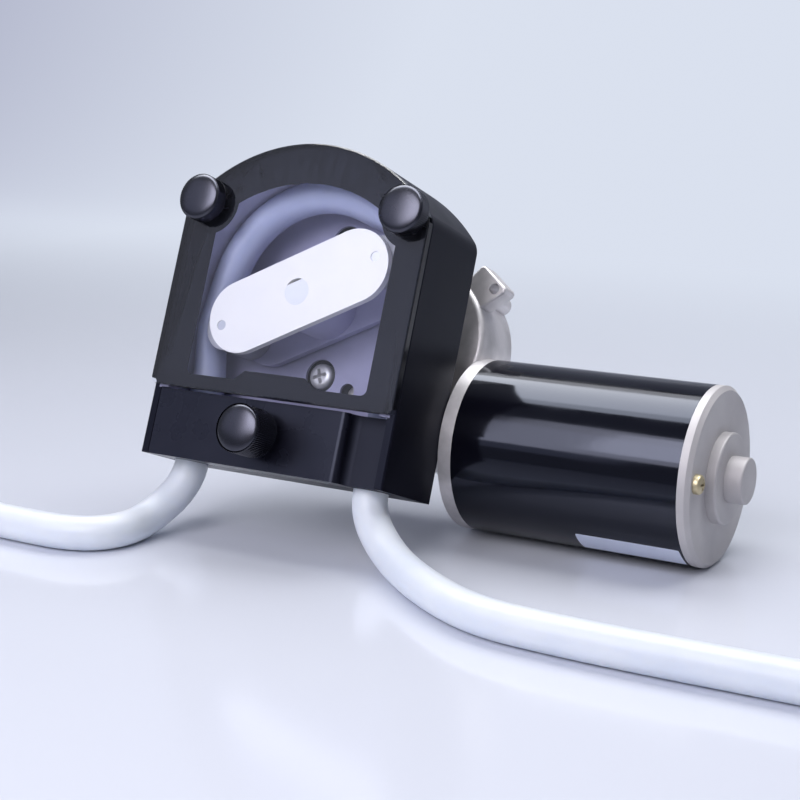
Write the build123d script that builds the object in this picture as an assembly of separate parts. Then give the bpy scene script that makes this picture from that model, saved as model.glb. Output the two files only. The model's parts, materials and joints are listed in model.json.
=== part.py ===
from build123d import *
import math
import os

# ---------------------------------------------------------------------------
# Peristaltic pump head with its geared motor, millimetres.
#
# Pump frame: x to the right, y to the back, z up, origin on the rotor axis in
# the plane of the head's front face. The pump is drawn upright in this frame.
# It is then leaned back and set down on the ground, where it rests on the
# motor can and on its two hose ends.
# ---------------------------------------------------------------------------

# --- how the pump lies ---
LEAN_BACK = 22.0          # degrees, about the motor's own axis

# --- running clearances ---
RUNNING_GAP = 0.05        # shaft in a bush or a bearing, on radius
SCREW_GAP = 0.3           # screw shank in its clearance hole, on radius
THREAD_GAP = 0.05         # screw shank in its tapped hole, on radius
SEAT_GAP = 0.02           # pressed and glued pieces, on radius
SLIP_GAP = 0.3            # flat faces that pass each other

# --- hose ---
HOSE_OUTER = 12.7
HOSE_WALL = 2.4
HOSE_PINCHED = 3.6        # two walls squeezed by a roller
HOSE_PINCH_WIDTH = 16.0   # how wide the squeezed hose spreads
HOSE_PINCH_SPREAD = 10.0  # degrees to each side of the roller
HOSE_DROP = 15.0          # straight run out of the head

# --- head ---
HEAD_WIDTH = 105.0
HEAD_DEPTH = 35.5
HEAD_BOTTOM = -66.5
ARCH_RADIUS = 67.3
ARCH_CENTRE_Z = -13.3
SHOULDER_RADIUS = 8.0
CHAMBER_RADIUS = 46.0
CHAMBER_DEPTH = 29.5
CHEEK_THICKNESS = 3.2
EDGE_CHAMFER = 0.5
DRAIN_RADIUS = 3.0
DRAIN_X = 12.8
DRAIN_Z = -30.5

# --- cover ---
COVER_THICKNESS = 3.0
FILM_THICKNESS = 0.3
COVER_BOTTOM = -40.7
COVER_CORNER = 3.0
WINDOW_HALF_WIDTH = 39.2
WINDOW_BOTTOM = -35.2
WINDOW_CORNER = 2.5
WINDOW_ARCH_RADIUS = 59.0
WINDOW_ARCH_CENTRE_Z = -19.2
TAB_HEIGHT = 3.6
TAB_TOP_WIDTH = 26.0
TAB_FOOT_WIDTH = 35.0
KNOB_X = 43.5
KNOB_Z = 30.1
KNOB_BULGE = 12.0         # film left round each knob

# --- thumb screws ---
KNOB_RADIUS = 8.4
KNOB_LENGTH = 7.2
KNOB_DOME = 1.3
STUD_RADIUS = 2.5
STUD_REACH = 12.0         # into the head's wall
CLAMP_KNOB_LENGTH = 13.5
CLAMP_NECK_RADIUS = 5.5
CLAMP_NECK_LENGTH = 4.0
CLAMP_STUD_RADIUS = 3.0
CLAMP_STUD_REACH = 11.0   # past the parting plane

# --- hose clamp ---
CLAMP_TOP = -41.5
CLAMP_Z = -54.0           # height of its thumb screw
CLAMP_LIP = 5.0           # front wall left in front of the scooped top
CLAMP_RECESS_X = 33.5     # where the flat face ends
CLAMP_RECESS_DEPTH = 5.5
CLAMP_EDGE_RADIUS = 2.5
CLAMP_HOLLOW_RADIUS = 4.0

# --- rotor ---
ROTOR_ANGLE = 27.0        # degrees from x towards z
ARM_HALF_LENGTH = 38.7
ARM_HALF_WIDTH = 13.75
ARM_THICKNESS = 3.0
ARM_FRONT = 2.8           # behind the head's front face
PIN_CIRCLE_RADIUS = 33.7
PIN_RADIUS = 1.9
PIN_RECESS = 0.3
BUSH_WALL = 1.2
BUSH_LENGTH = 5.0
HUB_RADIUS = 13.0
SET_SCREW_RADIUS = 2.5
SET_SCREW_HEAD_RADIUS = 4.25
SET_SCREW_HEAD = 5.0
SHAFT_RADIUS = 5.0
SHAFT_FLAT = 1.2          # depth of the D flat
SHAFT_BUSH_WALL = 2.5
SHAFT_BUSH_FLANGE = 1.2

# --- screws between head and gearbox ---
JOIN_CIRCLE_RADIUS = 26.0
JOIN_SCREW_RADIUS = 2.5
JOIN_HEAD_RADIUS = 4.9
JOIN_HEAD_HEIGHT = 3.7
JOIN_SEAT_RADIUS = 6.4
JOIN_SEAT_DEPTH = 3.0
JOIN_REACH = 9.0          # into the gearbox boss

# --- gearbox ---
BOSS_RADIUS = 33.0
BOX_FRONT = 50.0
BOX_BACK = 73.5
BOX_WALL = 3.0
BOX_COVER = 2.0
GEAR_MODULE = 1.0
OUTPUT_TEETH = 34
PINION_TEETH = 16
SPUR_WIDTH = 5.4
WORM_MODULE = 1.4
WHEEL_TEETH = 36
WHEEL_WIDTH = 10.0
WHEEL_X = 24.5
WHEEL_Z = -5.0
WHEEL_LOBE_RADIUS = 29.5
OUTPUT_LOBE_RADIUS = 24.0
GEAR_PIN_RADIUS = 3.0
TUNNEL_WALL = 2.6
TUNNEL_START = -3.0
EAR_FRONT = 51.5
EAR_BACK = 60.5
EAR_HOLE_RADIUS = 2.1
EAR_REACH = 7.7           # hole past the wall of its lobe
EAR_NEAR_SIDE = 3.6       # hole to the lug's nearer side
EAR_FAR_SIDE = 11.2
EAR_NEAR_TIP = 4.4        # tip past the hole at its nearer corner
EAR_FAR_TIP = 0.6
EAR_FAR_ROOT = 8.0
EAR_EDGE = 0.9
EARS = [("wheel", 38.0, 1), ("output", 137.0, -1), ("output", 223.0, 1)]
OUTPUT_BEARING_RADIUS = 9.5
OUTPUT_BEARING_WIDTH = 5.0
BEARING_LIP = 1.5
BOX_LUG_RADIUS = 3.6
BOX_LUG_DEPTH = 13.0
BOX_LUGS = [("wheel", 44.0), ("wheel", 105.0), ("output", 137.0), ("output", 223.0)]
BOX_COVER_BOTTOM = -28.0
BOX_SCREW_RADIUS = 1.5
BOX_SCREW_HEAD_RADIUS = 2.75
BOX_SCREW_HEAD = 1.8
BOX_SCREW_REACH = 8.0

# --- motor ---
MOTOR_Y = 64.9
MOTOR_Z = -38.95
CAN_RADIUS = 32.05
CAN_WALL = 1.8
CAN_START = 58.0
CAN_END = 143.6
FLANGE_THICKNESS = 5.2
BELL_RADIUS = 28.0        # wide end of the bell between worm tunnel and flange
BELL_LENGTH = 14.0
CAP_THICKNESS = 4.2
CAP_CHAMFER = 1.5
CAP_STEP_RADIUS = 16.2
CAP_STEP = 3.7
CAP_NOSE_RADIUS = 8.3
CAP_NOSE = 6.5
ARMATURE_RADIUS = 22.8
ARMATURE_START = 73.0
ARMATURE_END = 115.0
ARMATURE_SLOTS = 10
ARMATURE_SLOT_WIDTH = 5.0
ARMATURE_SLOT_BOTTOM = 12.0
ARMATURE_GAP = 0.8
WINDING_RADIUS = 20.5
WINDING_LENGTH = 7.0
MAGNET_OVERHANG = 3.0     # past the armature at each end
MAGNET_SPREAD = 140.0     # degrees
MOTOR_SHAFT_RADIUS = 4.0
MOTOR_BEARING_RADIUS = 9.5
MOTOR_BEARING_WIDTH = 6.0
WORM_BUSH_RADIUS = 6.5
WORM_BUSH_LENGTH = 7.0
WORM_LENGTH = 26.0
COMMUTATOR_RADIUS = 11.0
COMMUTATOR_LENGTH = 12.0
BRUSH_WIDTH = 7.0
BRUSH_THICKNESS = 5.0
BRUSH_LENGTH = 12.0
BRUSH_BOX_WALL = 1.0
HOLDER_THICKNESS = 2.0
SPIGOT_DEPTH = 2.0
BOLT_CIRCLE_RADIUS = 25.8
BOLT_ANGLE = 193.5        # of the bolt seen from the front
BOLT_RADIUS = 2.0
BOLT_HEAD_RADIUS = 3.4
BOLT_HEAD = 2.6

# --- hose ends on the ground: right and back from where each leaves the head ---
LEFT_ROUTE = [
    (-2.4, -19.3), (-10.4, -34.3), (-26.4, -44.8), (-48.4, -46.8), (-72.4, -46.3), (-95.4, -45.3),
]
RIGHT_ROUTE = [
    (8.4, -21.3), (26.4, -36.3), (52.4, -46.3), (85.4, -48.8), (120.4, -48.3), (155.4, -46.8),
    (190.4, -46.3),
]

# --- worked out from the sizes above ---
HEAD_TOP = ARCH_CENTRE_Z + ARCH_RADIUS
HOSE_RADIUS = HOSE_OUTER / 2
HOSE_BORE_RADIUS = HOSE_RADIUS - HOSE_WALL
HOSE_BEND_RADIUS = CHAMBER_RADIUS - HOSE_RADIUS
ROLLER_RADIUS = CHAMBER_RADIUS - HOSE_PINCHED - PIN_CIRCLE_RADIUS
ARM_GAP_START = ARM_FRONT + ARM_THICKNESS
ROLLER_SIDE_GAP = 0.5
HOSE_SIDE_ROOM = 2.65     # roller wider than the round hose, each side
ROLLER_FRONT = ARM_GAP_START + ROLLER_SIDE_GAP
ROLLER_LENGTH = HOSE_OUTER + 2 * HOSE_SIDE_ROOM
ROLLER_BACK = ROLLER_FRONT + ROLLER_LENGTH
HOSE_Y = (ROLLER_FRONT + ROLLER_BACK) / 2
REAR_ARM_FRONT = ROLLER_BACK + ROLLER_SIDE_GAP
REAR_ARM_BACK = REAR_ARM_FRONT + ARM_THICKNESS
COVER_BACK = -FILM_THICKNESS
COVER_FRONT = COVER_BACK - COVER_THICKNESS
OPENING_HALF_WIDTH = HEAD_WIDTH / 2 - CHEEK_THICKNESS
WORM_PITCH_RADIUS = (WHEEL_Z - MOTOR_Z) - WORM_MODULE * WHEEL_TEETH / 2
WHEEL_TIP_RADIUS = WORM_MODULE * (WHEEL_TEETH / 2 + 1)
WORM_TIP_RADIUS = WHEEL_Z - MOTOR_Z - WHEEL_TIP_RADIUS - SLIP_GAP
WORM_BORE_RADIUS = WORM_PITCH_RADIUS + WORM_MODULE + 0.7
TUNNEL_RADIUS = WORM_BORE_RADIUS + TUNNEL_WALL
SPUR_FRONT = BOX_FRONT + BOX_WALL + 0.6
SPUR_BACK = SPUR_FRONT + SPUR_WIDTH
WHEEL_FRONT = MOTOR_Y - WHEEL_WIDTH / 2
WHEEL_BACK = MOTOR_Y + WHEEL_WIDTH / 2
CAP_FACE = CAN_END + CAP_THICKNESS
FLANGE_START = CAN_START - FLANGE_THICKNESS
MAGNET_INNER = ARMATURE_RADIUS + ARMATURE_GAP
MAGNET_OUTER = CAN_RADIUS - CAN_WALL

parts = {}


# ---------------------------------------------------------------------------
# Small drawing helpers
# ---------------------------------------------------------------------------
def slab(face, front, back):
    """Face drawn in x and z, made solid from y = front to y = back."""
    return extrude(Plane.XZ.offset(-back) * face, amount=back - front)


def bar(face, start, end):
    """Face drawn in y and z, made solid from x = start to x = end."""
    return extrude(Plane.YZ.offset(start) * face, amount=end - start)


def disc(radius, x=0.0, z=0.0):
    """Round face at a place in its own plane."""
    return Pos(x, z) * Circle(radius)


def ring(outer, inner, x=0.0, z=0.0):
    """Round face with a round hole."""
    return disc(outer, x, z) - disc(inner, x, z)


def block(left, right, bottom, top):
    """Rectangular face between four edges."""
    return Pos((left + right) / 2, (bottom + top) / 2) * Rectangle(right - left, top - bottom)


def turned(distance, angle):
    """Point at a distance from the origin, at an angle from the first axis."""
    return distance * math.cos(math.radians(angle)), distance * math.sin(math.radians(angle))


def motor_disc(radius, distance=0.0, angle=0.0):
    """Round face about the motor axis, or about a point set off from it."""
    off_y, off_z = turned(distance, angle)
    return disc(radius, MOTOR_Y + off_y, MOTOR_Z + off_z)


def gear_face(teeth, module, backlash):
    """Spur gear outline with straight-flanked teeth, first tooth on the first axis."""
    root = module * (teeth / 2 - 1.25)
    tip = module * (teeth / 2 + 1.0)
    step = 360.0 / teeth
    points = []
    for number in range(teeth):
        middle = number * step
        points.append(turned(root, middle - (0.36 - backlash) * step))
        points.append(turned(tip, middle - (0.14 - backlash) * step))
        points.append(turned(tip, middle + (0.14 - backlash) * step))
        points.append(turned(root, middle + (0.36 - backlash) * step))
    return Polygon(*points, align=None)


# ---------------------------------------------------------------------------
# Head
# ---------------------------------------------------------------------------
def head_face(bottom, corner=0.0):
    """Arched outline of the head: straight sides, round shoulders, flat bottom."""
    half = HEAD_WIDTH / 2
    shoulder = ARCH_CENTRE_Z + math.sqrt(ARCH_RADIUS**2 - half**2)
    crown = disc(ARCH_RADIUS, 0, ARCH_CENTRE_Z) & block(-half, half, shoulder, HEAD_TOP + 1)
    face = block(-half, half, bottom, shoulder) + crown
    shoulders = [v for v in face.vertices() if abs(v.Y - shoulder) < 0.01 and abs(abs(v.X) - half) < 0.01]
    face = fillet(shoulders, SHOULDER_RADIUS)
    if corner > 0:
        feet = [v for v in face.vertices() if abs(v.Y - bottom) < 0.01]
        face = fillet(feet, corner)
    return face


def join_spots():
    """The four places where the head is screwed to the gearbox."""
    return [turned(JOIN_CIRCLE_RADIUS, quarter * 90.0) for quarter in range(4)]


def pump_body():
    body = slab(head_face(HEAD_BOTTOM), 0, HEAD_DEPTH)
    front_edges = body.faces().sort_by(Axis.Y)[0].edges()
    body = chamfer(front_edges, EDGE_CHAMFER)
    chamber = disc(CHAMBER_RADIUS) + block(-CHAMBER_RADIUS, CHAMBER_RADIUS, CLAMP_TOP, 0)
    body -= slab(chamber, -1, CHAMBER_DEPTH)
    opening = block(-OPENING_HALF_WIDTH, OPENING_HALF_WIDTH, HEAD_BOTTOM - 1, CLAMP_TOP + SLIP_GAP)
    body -= slab(opening, -1, HOSE_Y)
    for side in (-1, 1):
        groove = disc(HOSE_RADIUS + THREAD_GAP, side * HOSE_BEND_RADIUS, HOSE_Y)
        body -= extrude(Plane.XY.offset(HEAD_BOTTOM - 1) * groove, amount=-HEAD_BOTTOM + 1)
        body -= slab(disc(STUD_RADIUS + THREAD_GAP, side * KNOB_X, KNOB_Z), -1, STUD_REACH + 1)
    body -= slab(disc(CLAMP_STUD_RADIUS + THREAD_GAP, 0, CLAMP_Z), 0, HOSE_Y + CLAMP_STUD_REACH + 1)
    for x, z in join_spots():
        body -= slab(disc(JOIN_SEAT_RADIUS, x, z), CHAMBER_DEPTH - 1, CHAMBER_DEPTH + JOIN_SEAT_DEPTH)
        body -= slab(disc(JOIN_SCREW_RADIUS + SCREW_GAP, x, z), CHAMBER_DEPTH, HEAD_DEPTH + 1)
    body -= slab(disc(DRAIN_RADIUS, DRAIN_X, DRAIN_Z), CHAMBER_DEPTH - 1, HEAD_DEPTH + 1)
    body -= slab(disc(SHAFT_RADIUS + SHAFT_BUSH_WALL), CHAMBER_DEPTH - 1, HEAD_DEPTH + 1)
    return body


def shaft_bush():
    bore = SHAFT_RADIUS + RUNNING_GAP
    sleeve = slab(ring(SHAFT_RADIUS + SHAFT_BUSH_WALL - SEAT_GAP, bore), CHAMBER_DEPTH, HEAD_DEPTH)
    collar = ring(SHAFT_RADIUS + 2 * SHAFT_BUSH_WALL, bore)
    return sleeve + slab(collar, CHAMBER_DEPTH - SHAFT_BUSH_FLANGE, CHAMBER_DEPTH)


def join_screws():
    screws = []
    seat = CHAMBER_DEPTH + JOIN_SEAT_DEPTH
    for x, z in join_spots():
        head = slab(disc(JOIN_HEAD_RADIUS, x, z), seat - JOIN_HEAD_HEIGHT, seat)
        head = fillet(head.faces().sort_by(Axis.Y)[0].edges(), JOIN_HEAD_HEIGHT * 0.45)
        screws.append(head + slab(disc(JOIN_SCREW_RADIUS, x, z), seat, HEAD_DEPTH + JOIN_REACH))
    return screws


# ---------------------------------------------------------------------------
# Cover and its thumb screws
# ---------------------------------------------------------------------------
def stud_holes():
    return disc(STUD_RADIUS + SCREW_GAP, -KNOB_X, KNOB_Z) + disc(STUD_RADIUS + SCREW_GAP, KNOB_X, KNOB_Z)


def front_cover():
    plate = slab(head_face(COVER_BOTTOM, COVER_CORNER), COVER_FRONT, COVER_BACK)
    plate = chamfer(plate.faces().sort_by(Axis.Y)[0].edges(), EDGE_CHAMFER)
    return plate - slab(stud_holes(), COVER_FRONT - 1, COVER_BACK + 1)


def cover_film():
    """Opaque border behind the clear cover, cut out to a window."""
    half = WINDOW_HALF_WIDTH
    window = block(-half, half, WINDOW_BOTTOM, 0)
    crown = disc(WINDOW_ARCH_RADIUS, 0, WINDOW_ARCH_CENTRE_Z) & block(-half, half, 0, HEAD_TOP)
    window = window + crown
    feet = [v for v in window.vertices() if abs(v.Y - WINDOW_BOTTOM) < 0.01]
    window = fillet(feet, WINDOW_CORNER)
    window -= disc(KNOB_BULGE, -KNOB_X, KNOB_Z)
    window -= disc(KNOB_BULGE, KNOB_X, KNOB_Z)
    tab_top = WINDOW_BOTTOM + TAB_HEIGHT
    tab = Polygon(
        (-TAB_FOOT_WIDTH / 2, WINDOW_BOTTOM),
        (TAB_FOOT_WIDTH / 2, WINDOW_BOTTOM),
        (TAB_TOP_WIDTH / 2, tab_top),
        (-TAB_TOP_WIDTH / 2, tab_top),
        align=None,
    )
    window -= tab
    film = head_face(COVER_BOTTOM, COVER_CORNER) - window - stud_holes()
    return slab(film, COVER_BACK, 0)


def thumb_knob(x, z, base, length, neck_radius=0.0, neck_length=0.0):
    """Round knob with a domed end, its bore left for the stud."""
    grip_base = base - neck_length
    knob = slab(disc(KNOB_RADIUS, x, z), grip_base - length, grip_base)
    knob = fillet(knob.faces().sort_by(Axis.Y)[0].edges(), KNOB_DOME)
    if neck_length > 0:
        knob += slab(disc(neck_radius, x, z), grip_base, base)
    return knob


def knob_and_stud(x, z, base, length, stud_radius, stud_end, neck_radius=0.0, neck_length=0.0):
    """Knob pressed on a steel stud: the stud's bore is cut from the knob."""
    knob = thumb_knob(x, z, base, length, neck_radius, neck_length)
    buried = base - neck_length - length * 0.6
    stud = slab(disc(stud_radius, x, z), buried, stud_end)
    return knob - slab(disc(stud_radius + SEAT_GAP, x, z), buried, base + 1), stud


# ---------------------------------------------------------------------------
# Hose clamp
# ---------------------------------------------------------------------------
def hose_clamp():
    half = OPENING_HALF_WIDTH - SLIP_GAP
    back = HOSE_Y - SLIP_GAP
    face_edge = CLAMP_RECESS_X
    depth = CLAMP_RECESS_DEPTH
    hollow_start = face_edge + CLAMP_EDGE_RADIUS
    outline = block(-half, half, 0, back)
    cut = block(face_edge, half + 1, -1, depth)
    outline = outline - cut
    corner = [v for v in outline.vertices() if abs(v.X - face_edge) < 0.01 and abs(v.Y) < 0.01]
    outline = fillet(corner, CLAMP_EDGE_RADIUS)
    hollow = [v for v in outline.vertices() if abs(v.X - face_edge) < 0.01 and abs(v.Y - depth) < 0.01]
    outline = fillet(hollow, min(CLAMP_HOLLOW_RADIUS, depth - CLAMP_EDGE_RADIUS - 0.1))
    clamp = extrude(Plane.XY.offset(HEAD_BOTTOM) * outline, amount=CLAMP_TOP - HEAD_BOTTOM)
    clamp -= slab(disc(CHAMBER_RADIUS), CLAMP_LIP, back + 1)
    for side in (-1, 1):
        groove = disc(HOSE_RADIUS + SLIP_GAP, side * HOSE_BEND_RADIUS, HOSE_Y)
        clamp -= extrude(Plane.XY.offset(HEAD_BOTTOM - 1) * groove, amount=CLAMP_TOP - HEAD_BOTTOM + 2)
    clamp -= slab(disc(CLAMP_STUD_RADIUS + SCREW_GAP, 0, CLAMP_Z), -1, back + 1)
    return clamp


# ---------------------------------------------------------------------------
# Rotor
# ---------------------------------------------------------------------------
def arm_face():
    arm = SlotOverall(2 * ARM_HALF_LENGTH, 2 * ARM_HALF_WIDTH)
    arm -= disc(SHAFT_RADIUS + SEAT_GAP)
    for side in (-1, 1):
        arm -= disc(PIN_RADIUS + SEAT_GAP, side * PIN_CIRCLE_RADIUS)
    return Rot(0, 0, ROTOR_ANGLE) * arm


def roller_spot(side):
    return turned(side * PIN_CIRCLE_RADIUS, ROTOR_ANGLE)


def shaft_face():
    """Round shaft with its flat square to the arm."""
    flat = block(-SHAFT_RADIUS, SHAFT_RADIUS, SHAFT_RADIUS - SHAFT_FLAT, SHAFT_RADIUS + 1)
    return Rot(0, 0, ROTOR_ANGLE) * (Circle(SHAFT_RADIUS) - flat)


def set_screw():
    """Cap screw through the hub, down on the shaft's flat."""
    x, z = turned(1, ROTOR_ANGLE + 90)
    away = Plane(origin=(0, HOSE_Y, 0), z_dir=(x, 0, z))
    start = SHAFT_RADIUS - SHAFT_FLAT
    shank = extrude(away.offset(start) * Circle(SET_SCREW_RADIUS), amount=HUB_RADIUS - start)
    head = extrude(away.offset(HUB_RADIUS) * Circle(SET_SCREW_HEAD_RADIUS), amount=SET_SCREW_HEAD)
    return shank + head


def rotor_hub():
    x, z = turned(1, ROTOR_ANGLE + 90)
    away = Plane(origin=(0, HOSE_Y, 0), z_dir=(x, 0, z))
    hub = slab(ring(HUB_RADIUS, SHAFT_RADIUS + SEAT_GAP), ARM_GAP_START, REAR_ARM_FRONT)
    hub -= extrude(away * Circle(SET_SCREW_RADIUS + THREAD_GAP), amount=HUB_RADIUS + 1)
    seat = extrude(away.offset(HUB_RADIUS) * Circle(SET_SCREW_HEAD_RADIUS + SCREW_GAP), amount=5)
    return hub - seat


def roller(side):
    x, z = roller_spot(side)
    bore = PIN_RADIUS + RUNNING_GAP + BUSH_WALL + SEAT_GAP
    return slab(ring(ROLLER_RADIUS, bore, x, z), ROLLER_FRONT, ROLLER_BACK)


def roller_bushes(side):
    x, z = roller_spot(side)
    inner = PIN_RADIUS + RUNNING_GAP
    face = ring(inner + BUSH_WALL, inner, x, z)
    front = slab(face, ROLLER_FRONT, ROLLER_FRONT + BUSH_LENGTH)
    back = slab(face, ROLLER_BACK - BUSH_LENGTH, ROLLER_BACK)
    return [front, back]


def roller_pins():
    start = ARM_FRONT + PIN_RECESS
    return [slab(disc(PIN_RADIUS, *roller_spot(side)), start, REAR_ARM_BACK) for side in (-1, 1)]


# ---------------------------------------------------------------------------
# Hose in the head
# ---------------------------------------------------------------------------
def hose_arc(radius, start, end):
    """Stretch of round hose or bore along the chamber wall, between two angles."""
    section = Plane.XY * Pos(HOSE_BEND_RADIUS, HOSE_Y) * Circle(radius)
    return Rot(0, -start, 0) * revolve(section, Axis((0, 0, 0), (0, -1, 0)), end - start)


def hose_leg(radius, side, bottom, top):
    section = Plane.XY.offset(bottom) * Pos(side * HOSE_BEND_RADIUS, HOSE_Y) * Circle(radius)
    return extrude(section, amount=top - bottom)


def hose_loop():
    """Hose round the chamber wall, squeezed flat under the right roller."""
    hose = hose_arc(HOSE_RADIUS, 0, 180)
    for side in (-1, 1):
        hose += hose_leg(HOSE_RADIUS, side, HEAD_BOTTOM, 0)
        x, z = roller_spot(side)
        hose -= slab(disc(ROLLER_RADIUS + SLIP_GAP, x, z), ROLLER_FRONT - 2, ROLLER_BACK + 2)
    first = ROTOR_ANGLE - HOSE_PINCH_SPREAD
    last = ROTOR_ANGLE + HOSE_PINCH_SPREAD
    inner = CHAMBER_RADIUS - HOSE_PINCHED + SLIP_GAP
    middle = Pos((inner + CHAMBER_RADIUS) / 2, HOSE_Y)
    strip = Plane.XY * middle * Rectangle(CHAMBER_RADIUS - inner, HOSE_PINCH_WIDTH)
    hose += Rot(0, -first, 0) * revolve(strip, Axis((0, 0, 0), (0, -1, 0)), last - first)
    half = HOSE_PINCH_SPREAD * 1.5
    left_x, left_z = roller_spot(-1)
    squeezed = ROLLER_RADIUS * 1.2
    hose -= hose_leg(HOSE_BORE_RADIUS, 1, HEAD_BOTTOM, 0)
    hose -= hose_arc(HOSE_BORE_RADIUS, 0, ROTOR_ANGLE - half)
    hose -= hose_arc(HOSE_BORE_RADIUS, ROTOR_ANGLE + half, 180)
    hose -= hose_leg(HOSE_BORE_RADIUS, -1, left_z + squeezed, 0)
    hose -= hose_leg(HOSE_BORE_RADIUS, -1, HEAD_BOTTOM, left_z - squeezed)
    return hose


def turn_between(before, corner, after):
    """Angle in degrees by which the hose changes direction at a corner."""
    return (corner - before).get_angle(after - corner)


def hose_tail(name, exit_point, exit_direction, route):
    """Hose from the head down to the ground and away, bent round each corner."""
    points = [exit_point, exit_point + exit_direction * HOSE_DROP]
    for across, forward in route:
        points.append(Vector(exit_point.X + across, exit_point.Y + forward, HOSE_RADIUS))
    radii = []
    for number in range(1, len(points) - 1):
        before, corner, after = points[number - 1:number + 2]
        shorter = min((corner - before).length, (after - corner).length)
        half_turn = math.radians(turn_between(before, corner, after) / 2)
        radii.append(0.45 * shorter / math.tan(half_turn))
    path = FilletPolyline(*points, radius=radii)
    start = Plane(origin=path @ 0, z_dir=path % 0)
    tail = sweep(start * Circle(HOSE_RADIUS), path=path)
    tail -= sweep(start * Circle(HOSE_BORE_RADIUS), path=path)
    area = math.pi * (HOSE_RADIUS ** 2 - HOSE_BORE_RADIUS ** 2)
    print(name, "bend radii", [round(radius, 1) for radius in radii], "length", round(path.length, 1))
    print(name, "volume over section times length", round(tail.volume / (area * path.length), 4))
    return tail


# ---------------------------------------------------------------------------
# Gearbox
# ---------------------------------------------------------------------------
def lobes(wheel_radius, output_radius):
    """Outline round the wheel and the output gear: two circles and their tangents."""
    distance = math.hypot(WHEEL_X, WHEEL_Z)
    slope = math.degrees(math.atan2(WHEEL_Z, WHEEL_X))
    lean = math.degrees(math.acos((output_radius - wheel_radius) / distance))
    corners = []
    for side in (1, -1):
        x, z = turned(wheel_radius, slope + side * lean)
        corners.append((WHEEL_X + x, WHEEL_Z + z))
        corners.append(turned(output_radius, slope + side * lean))
    corners = [corners[0], corners[1], corners[3], corners[2]]
    bridge = Polygon(*corners, align=None)
    return bridge + disc(output_radius) + disc(wheel_radius, WHEEL_X, WHEEL_Z)


def lobe_spot(lobe, past_wall, angle):
    """Point outside a lobe's wall."""
    if lobe == "wheel":
        x, z = turned(WHEEL_LOBE_RADIUS + past_wall, angle)
        return WHEEL_X + x, WHEEL_Z + z
    return turned(OUTPUT_LOBE_RADIUS + past_wall, angle)


def lug_spots():
    """Screws of the rear cover, just outside the wall of each lobe."""
    return [lobe_spot(lobe, BOX_LUG_RADIUS / 3, angle) for lobe, angle in BOX_LUGS]


def ear(lobe, angle, side):
    """Cast lug with a slanted flat tip, wider on one side of its hole."""
    root = -EAR_REACH - 5.0
    corners = [
        (root, -EAR_NEAR_SIDE), (EAR_NEAR_TIP, -EAR_NEAR_SIDE),
        (EAR_FAR_TIP, EAR_FAR_SIDE), (root, EAR_FAR_ROOT),
    ]
    corners = [(along, side * across) for along, across in corners][::side]
    outline = Polygon(*corners, align=None)
    outline = fillet([v for v in outline.vertices() if v.X > 0], 2 * EAR_EDGE)
    x, z = lobe_spot(lobe, EAR_REACH, angle)
    lug = slab(Pos(x, z) * Rot(0, 0, angle) * outline, EAR_FRONT, EAR_BACK)
    faces = lug.faces().sort_by(Axis.Y)
    return fillet(faces[0].edges() + faces[-1].edges(), EAR_EDGE)


def motor_bell(grow):
    """Bell and flange between the worm tunnel and the motor can."""
    start = FLANGE_START - BELL_LENGTH
    narrow = Plane.YZ.offset(start) * motor_disc(TUNNEL_RADIUS + grow)
    wide = Plane.YZ.offset(FLANGE_START) * motor_disc(BELL_RADIUS + grow)
    bell = loft([narrow.faces()[0], wide.faces()[0]])
    return bell + bar(motor_disc(CAN_RADIUS + grow), FLANGE_START, CAN_START)


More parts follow.
